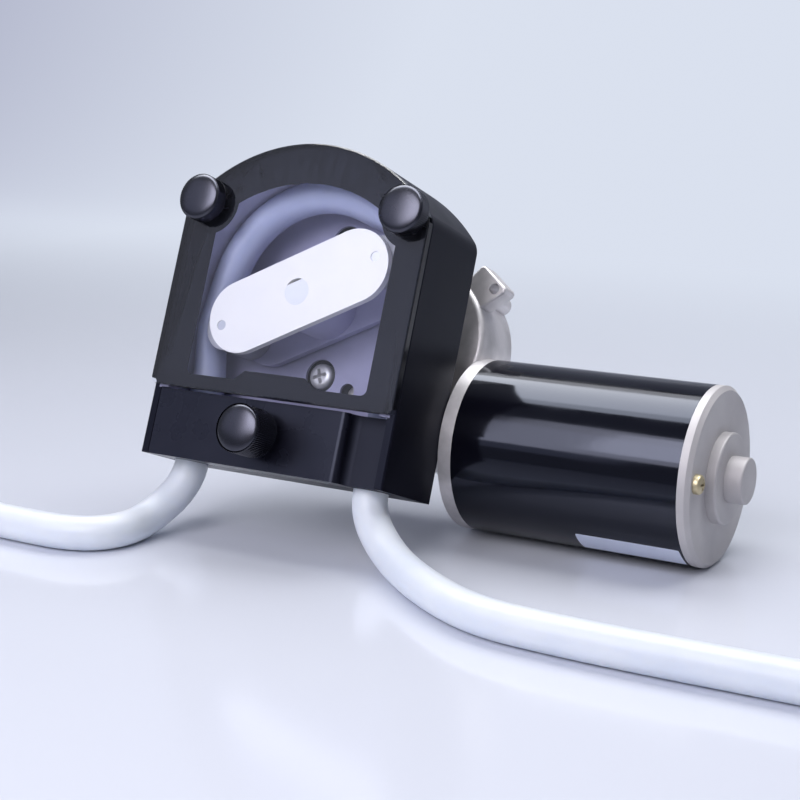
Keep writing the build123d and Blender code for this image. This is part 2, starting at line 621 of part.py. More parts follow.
def gearbox_housing():
    box = slab(lobes(WHEEL_LOBE_RADIUS, OUTPUT_LOBE_RADIUS), BOX_FRONT, BOX_BACK)
    box = fillet(box.faces().sort_by(Axis.Y)[0].edges(), 2.0)
    for lobe, angle, side in EARS:
        box += ear(lobe, angle, side)
    for x, z in lug_spots():
        box += slab(disc(BOX_LUG_RADIUS, x, z), BOX_BACK - BOX_LUG_DEPTH, BOX_BACK)
    box += slab(disc(BOSS_RADIUS), HEAD_DEPTH, BOX_FRONT + BOX_WALL)
    box += bar(motor_disc(TUNNEL_RADIUS), TUNNEL_START, FLANGE_START)
    box += motor_bell(0)
    cavity = lobes(WHEEL_LOBE_RADIUS - 2.3, OUTPUT_LOBE_RADIUS - BOX_WALL)
    box -= slab(cavity, BOX_FRONT + BOX_WALL, BOX_BACK)
    box -= bar(motor_disc(WORM_BORE_RADIUS), WHEEL_X - WORM_LENGTH / 2 - 2, FLANGE_START - 1)
    box -= bar(motor_disc(WORM_BUSH_RADIUS), TUNNEL_START + 3, WHEEL_X)
    box -= bar(motor_disc(MOTOR_SHAFT_RADIUS + 1), FLANGE_START - 3, CAN_START + 1)
    box -= bar(motor_disc(MOTOR_BEARING_RADIUS), CAN_START - MOTOR_BEARING_WIDTH, CAN_START + 1)
    bearing_bore = OUTPUT_BEARING_RADIUS
    box -= slab(disc(bearing_bore), HEAD_DEPTH + BEARING_LIP, BOX_FRONT + BOX_WALL + 1)
    box -= slab(disc(SHAFT_RADIUS + 1.5), HEAD_DEPTH - 1, HEAD_DEPTH + BEARING_LIP + 1)
    for x, z in join_spots():
        box -= slab(disc(JOIN_SCREW_RADIUS + THREAD_GAP, x, z), HEAD_DEPTH - 1, HEAD_DEPTH + JOIN_REACH + 1)
    for lobe, angle, _ in EARS:
        x, z = lobe_spot(lobe, EAR_REACH, angle)
        box -= slab(disc(EAR_HOLE_RADIUS, x, z), EAR_FRONT - 1, EAR_BACK + 1)
    for x, z in lug_spots():
        box -= slab(disc(BOX_SCREW_RADIUS + THREAD_GAP, x, z), BOX_BACK - BOX_SCREW_REACH - 1, BOX_BACK + 1)
    box -= slab(disc(GEAR_PIN_RADIUS + SEAT_GAP, WHEEL_X, WHEEL_Z), BOX_FRONT + 1, BOX_BACK)
    for angle in (BOLT_ANGLE, BOLT_ANGLE + 180):
        hole = motor_disc(BOLT_RADIUS + THREAD_GAP, BOLT_CIRCLE_RADIUS, angle)
        box -= bar(hole, FLANGE_START + 1, CAN_START + 1)
    return box


def gearbox_cover():
    plate = lobes(WHEEL_LOBE_RADIUS, OUTPUT_LOBE_RADIUS)
    for x, z in lug_spots():
        plate += disc(BOX_LUG_RADIUS, x, z)
    plate &= block(-HEAD_WIDTH, HEAD_WIDTH, BOX_COVER_BOTTOM, HEAD_WIDTH)
    for x, z in lug_spots():
        plate -= disc(BOX_SCREW_RADIUS + SCREW_GAP, x, z)
    cover = slab(plate, BOX_BACK, BOX_BACK + BOX_COVER) - motor_bell(SLIP_GAP)
    pillar = ring(2 * GEAR_PIN_RADIUS, GEAR_PIN_RADIUS + SEAT_GAP, WHEEL_X, WHEEL_Z)
    return cover + slab(pillar, WHEEL_BACK + SLIP_GAP, BOX_BACK)


def gearbox_screws():
    screws = []
    face = BOX_BACK + BOX_COVER
    for x, z in lug_spots():
        head = slab(disc(BOX_SCREW_HEAD_RADIUS, x, z), face, face + BOX_SCREW_HEAD)
        head = fillet(head.faces().sort_by(Axis.Y)[-1].edges(), BOX_SCREW_HEAD * 0.5)
        screws.append(head + slab(disc(BOX_SCREW_RADIUS, x, z), face - BOX_SCREW_REACH, face))
    return screws


def output_shaft():
    front = slab(shaft_face(), ARM_FRONT, CHAMBER_DEPTH)
    return front + slab(disc(SHAFT_RADIUS), CHAMBER_DEPTH, SPUR_BACK + SLIP_GAP)


def output_bearings():
    face = ring(OUTPUT_BEARING_RADIUS - SEAT_GAP, SHAFT_RADIUS + RUNNING_GAP)
    front = HEAD_DEPTH + BEARING_LIP
    back = BOX_FRONT + BOX_WALL
    rear = slab(face, back - OUTPUT_BEARING_WIDTH, back)
    return [slab(face, front, front + OUTPUT_BEARING_WIDTH), rear]


def bearing_spacer():
    wall = 1.5
    outer = OUTPUT_BEARING_RADIUS - SEAT_GAP
    start = HEAD_DEPTH + BEARING_LIP + OUTPUT_BEARING_WIDTH
    return slab(ring(outer, outer - wall), start, BOX_FRONT + BOX_WALL - OUTPUT_BEARING_WIDTH)


def output_gear():
    line = math.degrees(math.atan2(WHEEL_Z, WHEEL_X))
    face = Rot(0, 0, line) * gear_face(OUTPUT_TEETH, GEAR_MODULE, 0.015)
    face -= Circle(SHAFT_RADIUS + SEAT_GAP)
    collar = ring(SHAFT_RADIUS + 2, SHAFT_RADIUS + SEAT_GAP)
    return slab(face, SPUR_FRONT, SPUR_BACK) + slab(collar, BOX_FRONT + BOX_WALL + SLIP_GAP, SPUR_FRONT)


def pinion():
    line = math.degrees(math.atan2(WHEEL_Z, WHEEL_X))
    half_step = 180.0 / PINION_TEETH
    face = Rot(0, 0, line + 180 + half_step) * gear_face(PINION_TEETH, GEAR_MODULE, 0.015)
    face = Pos(WHEEL_X, WHEEL_Z) * (face - Circle(GEAR_PIN_RADIUS + RUNNING_GAP))
    collar = ring(2 * GEAR_PIN_RADIUS, GEAR_PIN_RADIUS + RUNNING_GAP, WHEEL_X, WHEEL_Z)
    return slab(face, SPUR_FRONT, SPUR_BACK) + slab(collar, SPUR_BACK, WHEEL_FRONT)


def worm_wheel():
    face = gear_face(WHEEL_TEETH, WORM_MODULE, 0.015) - Circle(GEAR_PIN_RADIUS + RUNNING_GAP)
    wheel = slab(Pos(WHEEL_X, WHEEL_Z) * face, WHEEL_FRONT, WHEEL_BACK)
    web = ring(WHEEL_TIP_RADIUS * 0.8, WHEEL_TIP_RADIUS * 0.35, WHEEL_X, WHEEL_Z)
    wheel -= slab(web, WHEEL_FRONT - 1, WHEEL_FRONT + WHEEL_WIDTH * 0.3)
    return wheel - slab(web, WHEEL_BACK - WHEEL_WIDTH * 0.3, WHEEL_BACK + 1)


def gear_pin():
    return slab(disc(GEAR_PIN_RADIUS, WHEEL_X, WHEEL_Z), BOX_FRONT + 1.2, BOX_BACK)


# ---------------------------------------------------------------------------
# Motor
# ---------------------------------------------------------------------------
def worm():
    middle = WHEEL_X
    face = motor_disc(WORM_TIP_RADIUS) - motor_disc(MOTOR_SHAFT_RADIUS + SEAT_GAP)
    return bar(face, middle - WORM_LENGTH / 2, middle + WORM_LENGTH / 2)


def motor_shaft():
    return bar(motor_disc(MOTOR_SHAFT_RADIUS), TUNNEL_START + 4, CAP_FACE + CAP_STEP)


def motor_bearings():
    """Worm-end bush, flange bearing and end-cap bearing."""
    bore = MOTOR_SHAFT_RADIUS + RUNNING_GAP
    small = motor_disc(WORM_BUSH_RADIUS - SEAT_GAP) - motor_disc(bore)
    large = motor_disc(MOTOR_BEARING_RADIUS - SEAT_GAP) - motor_disc(bore)
    bush_start = TUNNEL_START + 3
    return [
        bar(small, bush_start, bush_start + WORM_BUSH_LENGTH),
        bar(large, CAN_START - MOTOR_BEARING_WIDTH, CAN_START),
        bar(large, CAN_END, CAN_END + MOTOR_BEARING_WIDTH),
    ]


def armature_core():
    face = motor_disc(ARMATURE_RADIUS) - motor_disc(MOTOR_SHAFT_RADIUS + SEAT_GAP)
    depth = ARMATURE_RADIUS - ARMATURE_SLOT_BOTTOM
    slot = Pos(ARMATURE_SLOT_BOTTOM + depth / 2 + 1, 0) * Rectangle(depth + 2, ARMATURE_SLOT_WIDTH)
    for number in range(ARMATURE_SLOTS):
        face -= Pos(MOTOR_Y, MOTOR_Z) * Rot(0, 0, number * 360.0 / ARMATURE_SLOTS) * slot
    return bar(face, ARMATURE_START, ARMATURE_END)


def armature_windings():
    face = motor_disc(WINDING_RADIUS) - motor_disc(MOTOR_SHAFT_RADIUS + 2)
    front = bar(face, ARMATURE_START - WINDING_LENGTH, ARMATURE_START)
    back = bar(face, ARMATURE_END, ARMATURE_END + WINDING_LENGTH)
    front = fillet(front.faces().sort_by(Axis.X)[0].edges(), WINDING_LENGTH * 0.4)
    back = fillet(back.faces().sort_by(Axis.X)[-1].edges(), WINDING_LENGTH * 0.4)
    return [front, back]


def commutator():
    start = ARMATURE_END + WINDING_LENGTH
    face = motor_disc(COMMUTATOR_RADIUS) - motor_disc(MOTOR_SHAFT_RADIUS + SEAT_GAP)
    return bar(face, start, start + COMMUTATOR_LENGTH)


def brush_middle():
    return ARMATURE_END + WINDING_LENGTH + COMMUTATOR_LENGTH / 2


def brush_shape(side, grow):
    """Carbon block on one side of the commutator, or that block grown by its box wall."""
    inner = COMMUTATOR_RADIUS + SLIP_GAP
    width = BRUSH_WIDTH + 2 * grow
    thickness = BRUSH_THICKNESS + 2 * grow
    place = Pos(brush_middle(), MOTOR_Y, MOTOR_Z + side * (inner + BRUSH_LENGTH / 2 + grow))
    return place * Box(width, thickness, BRUSH_LENGTH)


def brush_holder():
    back = CAN_END - SPIGOT_DEPTH
    face = motor_disc(MAGNET_OUTER - 1) - motor_disc(COMMUTATOR_RADIUS + 3)
    plate = bar(face, back - HOLDER_THICKNESS, back)
    for side in (-1, 1):
        box = brush_shape(side, BRUSH_BOX_WALL)
        reach = back - HOLDER_THICKNESS - brush_middle()
        foot = Pos(brush_middle() + reach / 2, MOTOR_Y, MOTOR_Z + side * (COMMUTATOR_RADIUS + 8))
        box += foot * Box(reach, BRUSH_THICKNESS + 2 * BRUSH_BOX_WALL, BRUSH_LENGTH - 4)
        plate += box
    for side in (-1, 1):
        inner = COMMUTATOR_RADIUS
        place = Pos(brush_middle(), MOTOR_Y, MOTOR_Z + side * (inner + BRUSH_LENGTH / 2 + 2))
        plate -= place * Box(BRUSH_WIDTH + 0.2, BRUSH_THICKNESS + 0.2, BRUSH_LENGTH + 6)
    for angle in (BOLT_ANGLE, BOLT_ANGLE + 180):
        hole = motor_disc(BOLT_RADIUS + SCREW_GAP, BOLT_CIRCLE_RADIUS, angle)
        plate -= bar(hole, back - HOLDER_THICKNESS - 1, back + 1)
    return plate


def magnets():
    start = ARMATURE_START - MAGNET_OVERHANG
    end = ARMATURE_END + MAGNET_OVERHANG
    shells = []
    for side in (90.0, 270.0):
        middle = BOLT_ANGLE + side
        half = MAGNET_SPREAD / 2
        far = 2 * CAN_RADIUS
        spread = [turned(far, middle - half), turned(far, middle), turned(far, middle + half)]
        wedge = Polygon((0, 0), *spread, align=None)
        face = (Circle(MAGNET_OUTER) - Circle(MAGNET_INNER)) & wedge
        shells.append(bar(Pos(MOTOR_Y, MOTOR_Z) * face, start, end))
    return shells


def motor_can():
    can = bar(motor_disc(CAN_RADIUS) - motor_disc(CAN_RADIUS - CAN_WALL), CAN_START, CAN_END)
    return can


def motor_end_cap():
    cap = bar(motor_disc(CAN_RADIUS), CAN_END, CAP_FACE)
    cap = chamfer(cap.faces().sort_by(Axis.X)[-1].edges(), CAP_CHAMFER)
    step = bar(motor_disc(CAP_STEP_RADIUS), CAP_FACE, CAP_FACE + CAP_STEP)
    step = fillet(step.faces().sort_by(Axis.X)[-1].edges(), 0.8)
    nose = bar(motor_disc(CAP_NOSE_RADIUS), CAP_FACE + CAP_STEP, CAP_FACE + CAP_STEP + CAP_NOSE)
    nose = fillet(nose.faces().sort_by(Axis.X)[-1].edges(), 0.8)
    cap += step
    cap += nose
    rim = MAGNET_OUTER - RUNNING_GAP
    cap += bar(motor_disc(rim) - motor_disc(rim - 3), CAN_END - SPIGOT_DEPTH, CAN_END)
    cap -= bar(motor_disc(MOTOR_BEARING_RADIUS), CAN_END - 1, CAN_END + MOTOR_BEARING_WIDTH)
    cap -= bar(motor_disc(MOTOR_SHAFT_RADIUS + 1), CAN_END, CAP_FACE + CAP_STEP + CAP_NOSE / 2)
    for angle in (BOLT_ANGLE, BOLT_ANGLE + 180):
        hole = motor_disc(BOLT_RADIUS + SCREW_GAP, BOLT_CIRCLE_RADIUS, angle)
        cap -= bar(hole, CAN_END - SPIGOT_DEPTH - 1, CAP_FACE + 1)
    return cap


def motor_bolts():
    bolts = []
    for angle in (BOLT_ANGLE, BOLT_ANGLE + 180):
        shank = bar(motor_disc(BOLT_RADIUS, BOLT_CIRCLE_RADIUS, angle), FLANGE_START + 1.5, CAP_FACE)
        head = bar(motor_disc(BOLT_HEAD_RADIUS, BOLT_CIRCLE_RADIUS, angle), CAP_FACE, CAP_FACE + BOLT_HEAD)
        head = fillet(head.faces().sort_by(Axis.X)[-1].edges(), BOLT_HEAD * 0.45)
        bolts.append(shank + head)
    return bolts


parts["pump_body"] = pump_body()
parts["shaft_bush"] = shaft_bush()
parts["join_screws"] = join_screws()
parts["front_cover"] = front_cover()
parts["cover_film"] = cover_film()
for name, side in (("left", -1), ("right", 1)):
    knob, stud = knob_and_stud(side * KNOB_X, KNOB_Z, COVER_FRONT, KNOB_LENGTH, STUD_RADIUS, STUD_REACH)
    parts["cover_knob_" + name] = knob
    parts["cover_stud_" + name] = stud
parts["hose_clamp"] = hose_clamp()
parts["clamp_knob"], parts["clamp_stud"] = knob_and_stud(
    0, CLAMP_Z, 0, CLAMP_KNOB_LENGTH, CLAMP_STUD_RADIUS, HOSE_Y + CLAMP_STUD_REACH,
    CLAMP_NECK_RADIUS, CLAMP_NECK_LENGTH,
)
parts["rotor_front_arm"] = slab(arm_face(), ARM_FRONT, ARM_GAP_START)
parts["rotor_rear_arm"] = slab(arm_face(), REAR_ARM_FRONT, REAR_ARM_BACK)
parts["rotor_hub"] = rotor_hub()
parts["rotor_set_screw"] = set_screw()
for name, side in (("left", -1), ("right", 1)):
    parts["roller_" + name] = roller(side)
    parts["roller_bushes_" + name] = roller_bushes(side)
parts["roller_pins"] = roller_pins()
parts["hose_loop"] = hose_loop()

parts["gearbox_housing"] = gearbox_housing()
parts["gearbox_cover"] = gearbox_cover()
parts["gearbox_screws"] = gearbox_screws()
parts["output_shaft"] = output_shaft()
parts["output_bearings"] = output_bearings()
parts["bearing_spacer"] = bearing_spacer()
parts["output_gear"] = output_gear()
parts["pinion"] = pinion()
parts["worm_wheel"] = worm_wheel()
parts["gear_pin"] = gear_pin()
parts["worm"] = worm()
parts["motor_shaft"] = motor_shaft()
parts["motor_bearings"] = motor_bearings()
parts["armature_core"] = armature_core()
parts["armature_windings"] = armature_windings()
parts["commutator"] = commutator()
parts["brush_holder"] = brush_holder()
parts["brushes"] = [brush_shape(-1, 0), brush_shape(1, 0)]
parts["magnets"] = magnets()
parts["motor_can"] = motor_can()
parts["motor_end_cap"] = motor_end_cap()
parts["motor_bolts"] = motor_bolts()

# ---------------------------------------------------------------------------
# Lean the pump back, set it on the ground and centre it
# ---------------------------------------------------------------------------
solids = {}
for name, shape in parts.items():
    pieces = shape if isinstance(shape, list) else [shape]
    solids[name] = [Rot(-LEAN_BACK, 0, 0) * solid for piece in pieces for solid in piece.solids()]

everything = Compound([solid for group in solids.values() for solid in group]).bounding_box()
set_down = Pos(-everything.center().X, -everything.center().Y, -everything.min.Z)
for name, group in solids.items():
    solids[name] = [set_down * solid for solid in group]

for side, name, route in ((-1, "hose_tail_left", LEFT_ROUTE), (1, "hose_tail_right", RIGHT_ROUTE)):
    leaned = Rot(-LEAN_BACK, 0, 0)
    exit_point = (set_down * leaned * Pos(side * HOSE_BEND_RADIUS, HOSE_Y, HEAD_BOTTOM)).position
    exit_direction = (leaned * Pos(0, 0, -1)).position
    solids[name] = hose_tail(name, exit_point, exit_direction, route).solids()

print("set down by", -everything.center().X, -everything.center().Y, -everything.min.Z)
print("size", everything.size)

os.makedirs("parts", exist_ok=True)
for name, group in solids.items():
    export_step(Compound(group) if len(group) > 1 else group[0], f"parts/{name}.step")
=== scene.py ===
"""Looks of a peristaltic pump head with its geared motor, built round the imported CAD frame."""

import json
import logging
import math
from dataclasses import dataclass, field
from enum import Enum
from typing import Sequence

import bmesh
import bpy
import numpy as np
from mathutils import Matrix, Vector


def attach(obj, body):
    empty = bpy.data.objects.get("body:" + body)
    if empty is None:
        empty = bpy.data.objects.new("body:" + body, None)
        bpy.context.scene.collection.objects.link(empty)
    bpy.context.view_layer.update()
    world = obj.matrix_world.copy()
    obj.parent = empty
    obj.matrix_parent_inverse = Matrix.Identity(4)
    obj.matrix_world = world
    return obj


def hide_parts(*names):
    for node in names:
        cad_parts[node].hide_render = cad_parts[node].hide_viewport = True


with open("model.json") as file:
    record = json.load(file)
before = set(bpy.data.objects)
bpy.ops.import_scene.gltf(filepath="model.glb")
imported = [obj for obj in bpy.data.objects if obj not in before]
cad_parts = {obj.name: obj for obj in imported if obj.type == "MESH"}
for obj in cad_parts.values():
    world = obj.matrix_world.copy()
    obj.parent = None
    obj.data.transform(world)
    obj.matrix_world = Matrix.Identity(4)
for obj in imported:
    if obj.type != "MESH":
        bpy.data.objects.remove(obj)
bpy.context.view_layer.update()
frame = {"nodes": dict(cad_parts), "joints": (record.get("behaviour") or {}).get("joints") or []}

MM = 0.001
SAME_POINT = 0.0000005  # metres within which two points are one

# Pump millimetres, shared by several pieces.
HOSE_DEPTH = 15.3  # behind the head's front face, and where the rotor's joint has its point
HOSE_BEND = 39.65  # radius of the hose's middle line round the rotor, and x of its straight legs
HEAD_BOTTOM = -66.5
ARCH_CENTRE = -13.3  # height of the centre that the head's and the cover's arches share
MOTOR_Y, MOTOR_Z = 64.9, -38.95

log = logging.getLogger("pump")

Colour = tuple[float, float, float]
Point = tuple[float, float, float]
Seat = tuple[Point, Point]
Socket = bpy.types.NodeSocket


class LampKind(Enum):
    """What a lamp does: light the pieces, or only show as a card in glossy faces."""

    SOFTBOX = "softbox"
    CARD = "card"


# ---------------------------------------------------------------------------
# The pump's own directions
# ---------------------------------------------------------------------------
@dataclass(frozen=True)
class PumpSpace:
    """Upright pump frame in millimetres: x right, y back along the rotor's axis, z up.

    Its origin lies on the head's front face.
    """

    origin: Vector
    right: Vector
    back: Vector
    up: Vector

    @classmethod
    def from_joints(cls, joints: Sequence[dict], hose_depth: float) -> "PumpSpace":
        """Work the pump frame out from the rotor's joint.

        Args:
            joints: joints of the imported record.
            hose_depth: distance in millimetres from the head's front face back to the joint's point.

        Returns:
            The pump frame, placed in the row frame.
        """
        spin = next(joint for joint in joints if joint["name"] == "rotor_spin")
        back = Vector(spin["axis"]).normalized()
        right = Vector((1.0, 0.0, 0.0))
        up = right.cross(back).normalized()
        origin = Vector(spin["pos_m"]) - back * hose_depth * MM
        return cls(origin, right, back, up)

    def matrix(self) -> np.ndarray:
        """Rows are the pump's x, y and z directions in the row frame."""
        return np.array([self.right, self.back, self.up], float)

    def place(self, points: np.ndarray) -> np.ndarray:
        """Carry points from pump millimetres to row metres.

        Args:
            points: array whose last axis holds x, y, z.

        Returns:
            Array of the same shape in the row frame.
        """
        return points @ self.matrix() * MM + np.array(self.origin, float)

    def point(self, x: float, y: float, z: float) -> Vector:
        """One point in the row frame."""
        return Vector(self.place(np.array([x, y, z], float)))

    def direction(self, x: float, y: float, z: float) -> Vector:
        """One direction in the row frame, of length one."""
        return Vector(np.array([x, y, z], float) @ self.matrix()).normalized()

    def lean(self) -> float:
        """How far the pump is leaned back, in radians."""
        return math.atan2(-self.back.z, self.back.y)

    def shift(self) -> Point:
        """Where the row frame's origin lies in pump millimetres."""
        away = self.matrix() @ np.array(self.origin, float) / MM
        return tuple(float(value) for value in -away)


# ---------------------------------------------------------------------------
# Surfaces on grids
# ---------------------------------------------------------------------------
def grid_faces(rows: int, columns: int, wrap_rows: bool, wrap_columns: bool) -> np.ndarray:
    """Corner numbers of the quads of a grid, worked out as one array.

    Args:
        rows: number of rows of points.
        columns: number of points in a row.
        wrap_rows: whether the last row joins the first.
        wrap_columns: whether each row closes on itself.

    Returns:
        Array of four corner numbers per quad.
    """
    row = np.arange(rows if wrap_rows else rows - 1)
    column = np.arange(columns if wrap_columns else columns - 1)
    r, c = np.meshgrid(row, column, indexing="ij")
    below, beside = (r + 1) % rows, (c + 1) % columns
    corners = [r * columns + c, r * columns + beside, below * columns + beside, below * columns + c]
    return np.stack([corner.ravel() for corner in corners], axis=1)


@dataclass
class Shell:
    """Points and faces of one piece, gathered from several grids."""

    points: list[np.ndarray] = field(default_factory=list)
    quads: list[np.ndarray] = field(default_factory=list)
    count: int = 0

    def add(self, grid: np.ndarray, wrap_rows: bool = False, wrap_columns: bool = True) -> None:
        """Add a grid of points and its quads.

        Args:
            grid: array of rows, columns and x, y, z.
            wrap_rows: whether the last row joins the first.
            wrap_columns: whether each row closes on itself.
        """
        rows, columns = grid.shape[:2]
        self.points.append(grid.reshape(-1, 3))
        self.quads.append(grid_faces(rows, columns, wrap_rows, wrap_columns) + self.count)
        self.count += rows * columns

    def mesh(self, name: str, merge: float = 0.0) -> bpy.types.Object:
        """Make the Blender object.

        Args:
            name: the piece's name.
            merge: distance in metres under which points become one.

        Returns:
            The object, linked to the scene and smooth shaded.
        """
        data = bpy.data.meshes.new(name)
        data.from_pydata(np.concatenate(self.points).tolist(), [], np.concatenate(self.quads).tolist())
        data.update()
        piece = bpy.data.objects.new(name, data)
        bpy.context.scene.collection.objects.link(piece)
        tidy_mesh(piece, merge)
        data.polygons.foreach_set("use_smooth", np.ones(len(data.polygons), bool))
        return piece


def tidy_mesh(piece: bpy.types.Object, merge: float) -> None:
    """Merge doubled points and turn every face outwards.

    Args:
        piece: the mesh object.
        merge: distance in metres under which points become one.
    """
    work = bmesh.new()
    work.from_mesh(piece.data)
    if merge > 0:
        bmesh.ops.remove_doubles(work, verts=work.verts, dist=merge)
    bmesh.ops.recalc_face_normals(work, faces=work.faces)
    work.to_mesh(piece.data)
    work.free()


def sharpen(piece: bpy.types.Object, degrees: float) -> None:
    """Mark edges that turn more than an angle as sharp, so that smooth shading stops there.

    Args:
        piece: the mesh object.
        degrees: the angle.
    """
    piece.data.set_sharp_from_angle(angle=math.radians(degrees))


def stand_in(piece: bpy.types.Object, finish: bpy.types.Material, body: str, node: str) -> None:
    """Finish a piece that is shown in place of a CAD node.

    Args:
        piece: the piece.
        finish: its material.
        body: the body that carries it.
        node: the CAD node that it replaces.
    """
    piece.data.materials.append(finish)
    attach(piece, body)
    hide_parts(node)


# ---------------------------------------------------------------------------
# Finishes
# ---------------------------------------------------------------------------
class Paint:
    """A node material under construction, with one Principled shader."""

    def __init__(self, name: str) -> None:
        """Start an empty material.

        Args:
            name: the material's name.
        """
        self.material = bpy.data.materials.new(name)
        self.material.use_nodes = True
        self.tree = self.material.node_tree
        self.shader = self.tree.nodes["Principled BSDF"]
        self.output = self.tree.nodes["Material Output"]

    def set(self, **values: object) -> None:
        """Set sockets of the Principled shader.

        Args:
            values: the sockets' values, by name with underscores for blanks.
        """
        for name, value in values.items():
            socket = self.shader.inputs[name.replace("_", " ")]
            socket.default_value = (*value, 1.0) if isinstance(value, tuple) and len(value) == 3 else value

    def node(self, kind: str, **settings: object) -> bpy.types.Node:
        """Add a node.

        Args:
            kind: the node's type.
            settings: its properties.

        Returns:
            The node.
        """
        made = self.tree.nodes.new(kind)
        for name, value in settings.items():
            setattr(made, name, value)
        return made

    def link(self, source: Socket, target: Socket) -> None:
        """Join two sockets."""
        self.tree.links.new(source, target)

    def coordinates(self, stretch: Point = (1.0, 1.0, 1.0)) -> Socket:
        """Object coordinates, stretched.

        Args:
            stretch: scale along each axis.

        Returns:
            The vector socket.
        """
        source = self.node("ShaderNodeTexCoord")
        mapping = self.node("ShaderNodeMapping")
        mapping.inputs["Scale"].default_value = stretch
        self.link(source.outputs["Object"], mapping.inputs["Vector"])
        return mapping.outputs["Vector"]

    def noise(self, vector: Socket, scale: float, detail: float = 3.0) -> Socket:
        """Noise over a vector.

        Args:
            vector: where it is read.
            scale: repeats per metre.
            detail: octaves.

        Returns:
            The value socket.
        """
        made = self.node("ShaderNodeTexNoise")
        made.inputs["Scale"].default_value = scale
        made.inputs["Detail"].default_value = detail
        self.link(vector, made.inputs["Vector"])
        return made.outputs["Fac"]

    def spread(self, value: Socket, low: float, high: float, start: float = 0.0, end: float = 1.0) -> Socket:
        """Carry a value from one range to another.

        Args:
            value: the socket.
            low: result at the start.
            high: result at the end.
            start: lowest value read.
            end: highest value read.

        Returns:
            The new value socket.
        """
        made = self.node("ShaderNodeMapRange")
        for name, number in (("From Min", start), ("From Max", end), ("To Min", low), ("To Max", high)):
            made.inputs[name].default_value = number
        self.link(value, made.inputs["Value"])
        return made.outputs["Result"]

    def blend(self, factor: Socket, first: Colour, second: Colour) -> Socket:
        """Mix two colours.

        Args:
            factor: the socket that says how much of the second.
            first: colour at 0.
            second: colour at 1.

        Returns:
            The colour socket.
        """
        made = self.node("ShaderNodeMix", data_type="RGBA")
        made.inputs["A"].default_value = (*first, 1.0)
        made.inputs["B"].default_value = (*second, 1.0)
        self.link(factor, made.inputs["Factor"])
        return made.outputs["Result"]

    def combine(self, operation: str, first: Socket, second: float | Socket) -> Socket:
        """Work out one value from two.

        Args:
            operation: the math node's operation.
            first: the first socket.
            second: the second socket, or a number.

        Returns:
            The value socket.
        """
        made = self.node("ShaderNodeMath", operation=operation)
        self.link(first, made.inputs[0])
        if isinstance(second, (int, float)):
            made.inputs[1].default_value = second
        else:
            self.link(second, made.inputs[1])
        return made.outputs[0]

    def reach(self, x: Socket, over: Socket) -> Socket:
        """Distance from an axis along y: the root of the sum of the two squares."""
        squares = self.combine("ADD", self.combine("MULTIPLY", x, x), self.combine("MULTIPLY", over, over))
        return self.combine("SQRT", squares, 0.0)

    def pump_axes(self, space: PumpSpace) -> tuple[Socket, ...]:
        """Object coordinates carried into pump millimetres.

        Args:
            space: the pump frame.

        Returns:
            Sockets of x, y and z.
        """
        source = self.node("ShaderNodeTexCoord")
        mapping = self.node("ShaderNodeMapping")
        mapping.inputs["Scale"].default_value = (1 / MM, 1 / MM, 1 / MM)
        mapping.inputs["Rotation"].default_value = (space.lean(), 0.0, 0.0)
        mapping.inputs["Location"].default_value = space.shift()
        self.link(source.outputs["Object"], mapping.inputs["Vector"])
        split = self.node("ShaderNodeSeparateXYZ")
        self.link(mapping.outputs["Vector"], split.inputs["Vector"])
        return split.outputs["X"], split.outputs["Y"], split.outputs["Z"]

    def mix_colours(self, factor: Socket, first: Socket, second: Socket) -> Socket:
        """Mix two colour sockets.

        Args:
            factor: the socket that says how much of the second.
            first: colour at 0.
            second: colour at 1.

        Returns:
            The colour socket.
        """
        made = self.node("ShaderNodeMix", data_type="RGBA")
        self.link(factor, made.inputs["Factor"])
        self.link(first, made.inputs["A"])
        self.link(second, made.inputs["B"])
        return made.outputs["Result"]

    def clouds(self, scale: float, detail: float) -> Socket:
        """Soft-edged clouds from 0 to 1: noise whose middle part is spread over the whole range."""
        return self.spread(self.noise(self.coordinates(), scale, detail), 0.0, 1.0, 0.35, 0.65)

    def bump(self, height: Socket, distance: float) -> None:
        """Raise the surface's shading by a height.

        Args:
            height: the socket.
            distance: height in metres of the value 1.
        """
        made = self.node("ShaderNodeBump")
        made.inputs["Distance"].default_value = distance
        self.link(height, made.inputs["Height"])
        self.link(made.outputs["Normal"], self.shader.inputs["Normal"])

    def anodised_skin(self) -> None:
        """Fine satin skin that anodising leaves on the metal."""
        self.bump(self.noise(self.coordinates(), 3200.0, 2.0), 0.000006)


@dataclass(frozen=True)
class MetalFinish:
    """Bare or coated metal with grain, blotches and uneven gloss."""

    name: str
    colour: Colour
    shade: Colour
    metallic: float
    roughness: tuple[float, float]
    grain: float = 2500.0
    grain_height: float = 0.00001
    blotch: float = 60.0

    def build(self) -> bpy.types.Material:
        """Make the material.

        Returns:
            The material.
        """
        paint = Paint(self.name)
        paint.set(Metallic=self.metallic)
        blotches = paint.noise(paint.coordinates(), self.blotch, 4.0)
        grain = paint.noise(paint.coordinates(), self.grain, 2.0)
        paint.link(paint.blend(paint.spread(blotches, 0.0, 1.0, 0.35, 0.65), self.colour, self.shade),
                   paint.shader.inputs["Base Color"])
        paint.link(paint.spread(blotches, *self.roughness, 0.3, 0.7), paint.shader.inputs["Roughness"])
        paint.bump(grain, self.grain_height)
        return paint.material


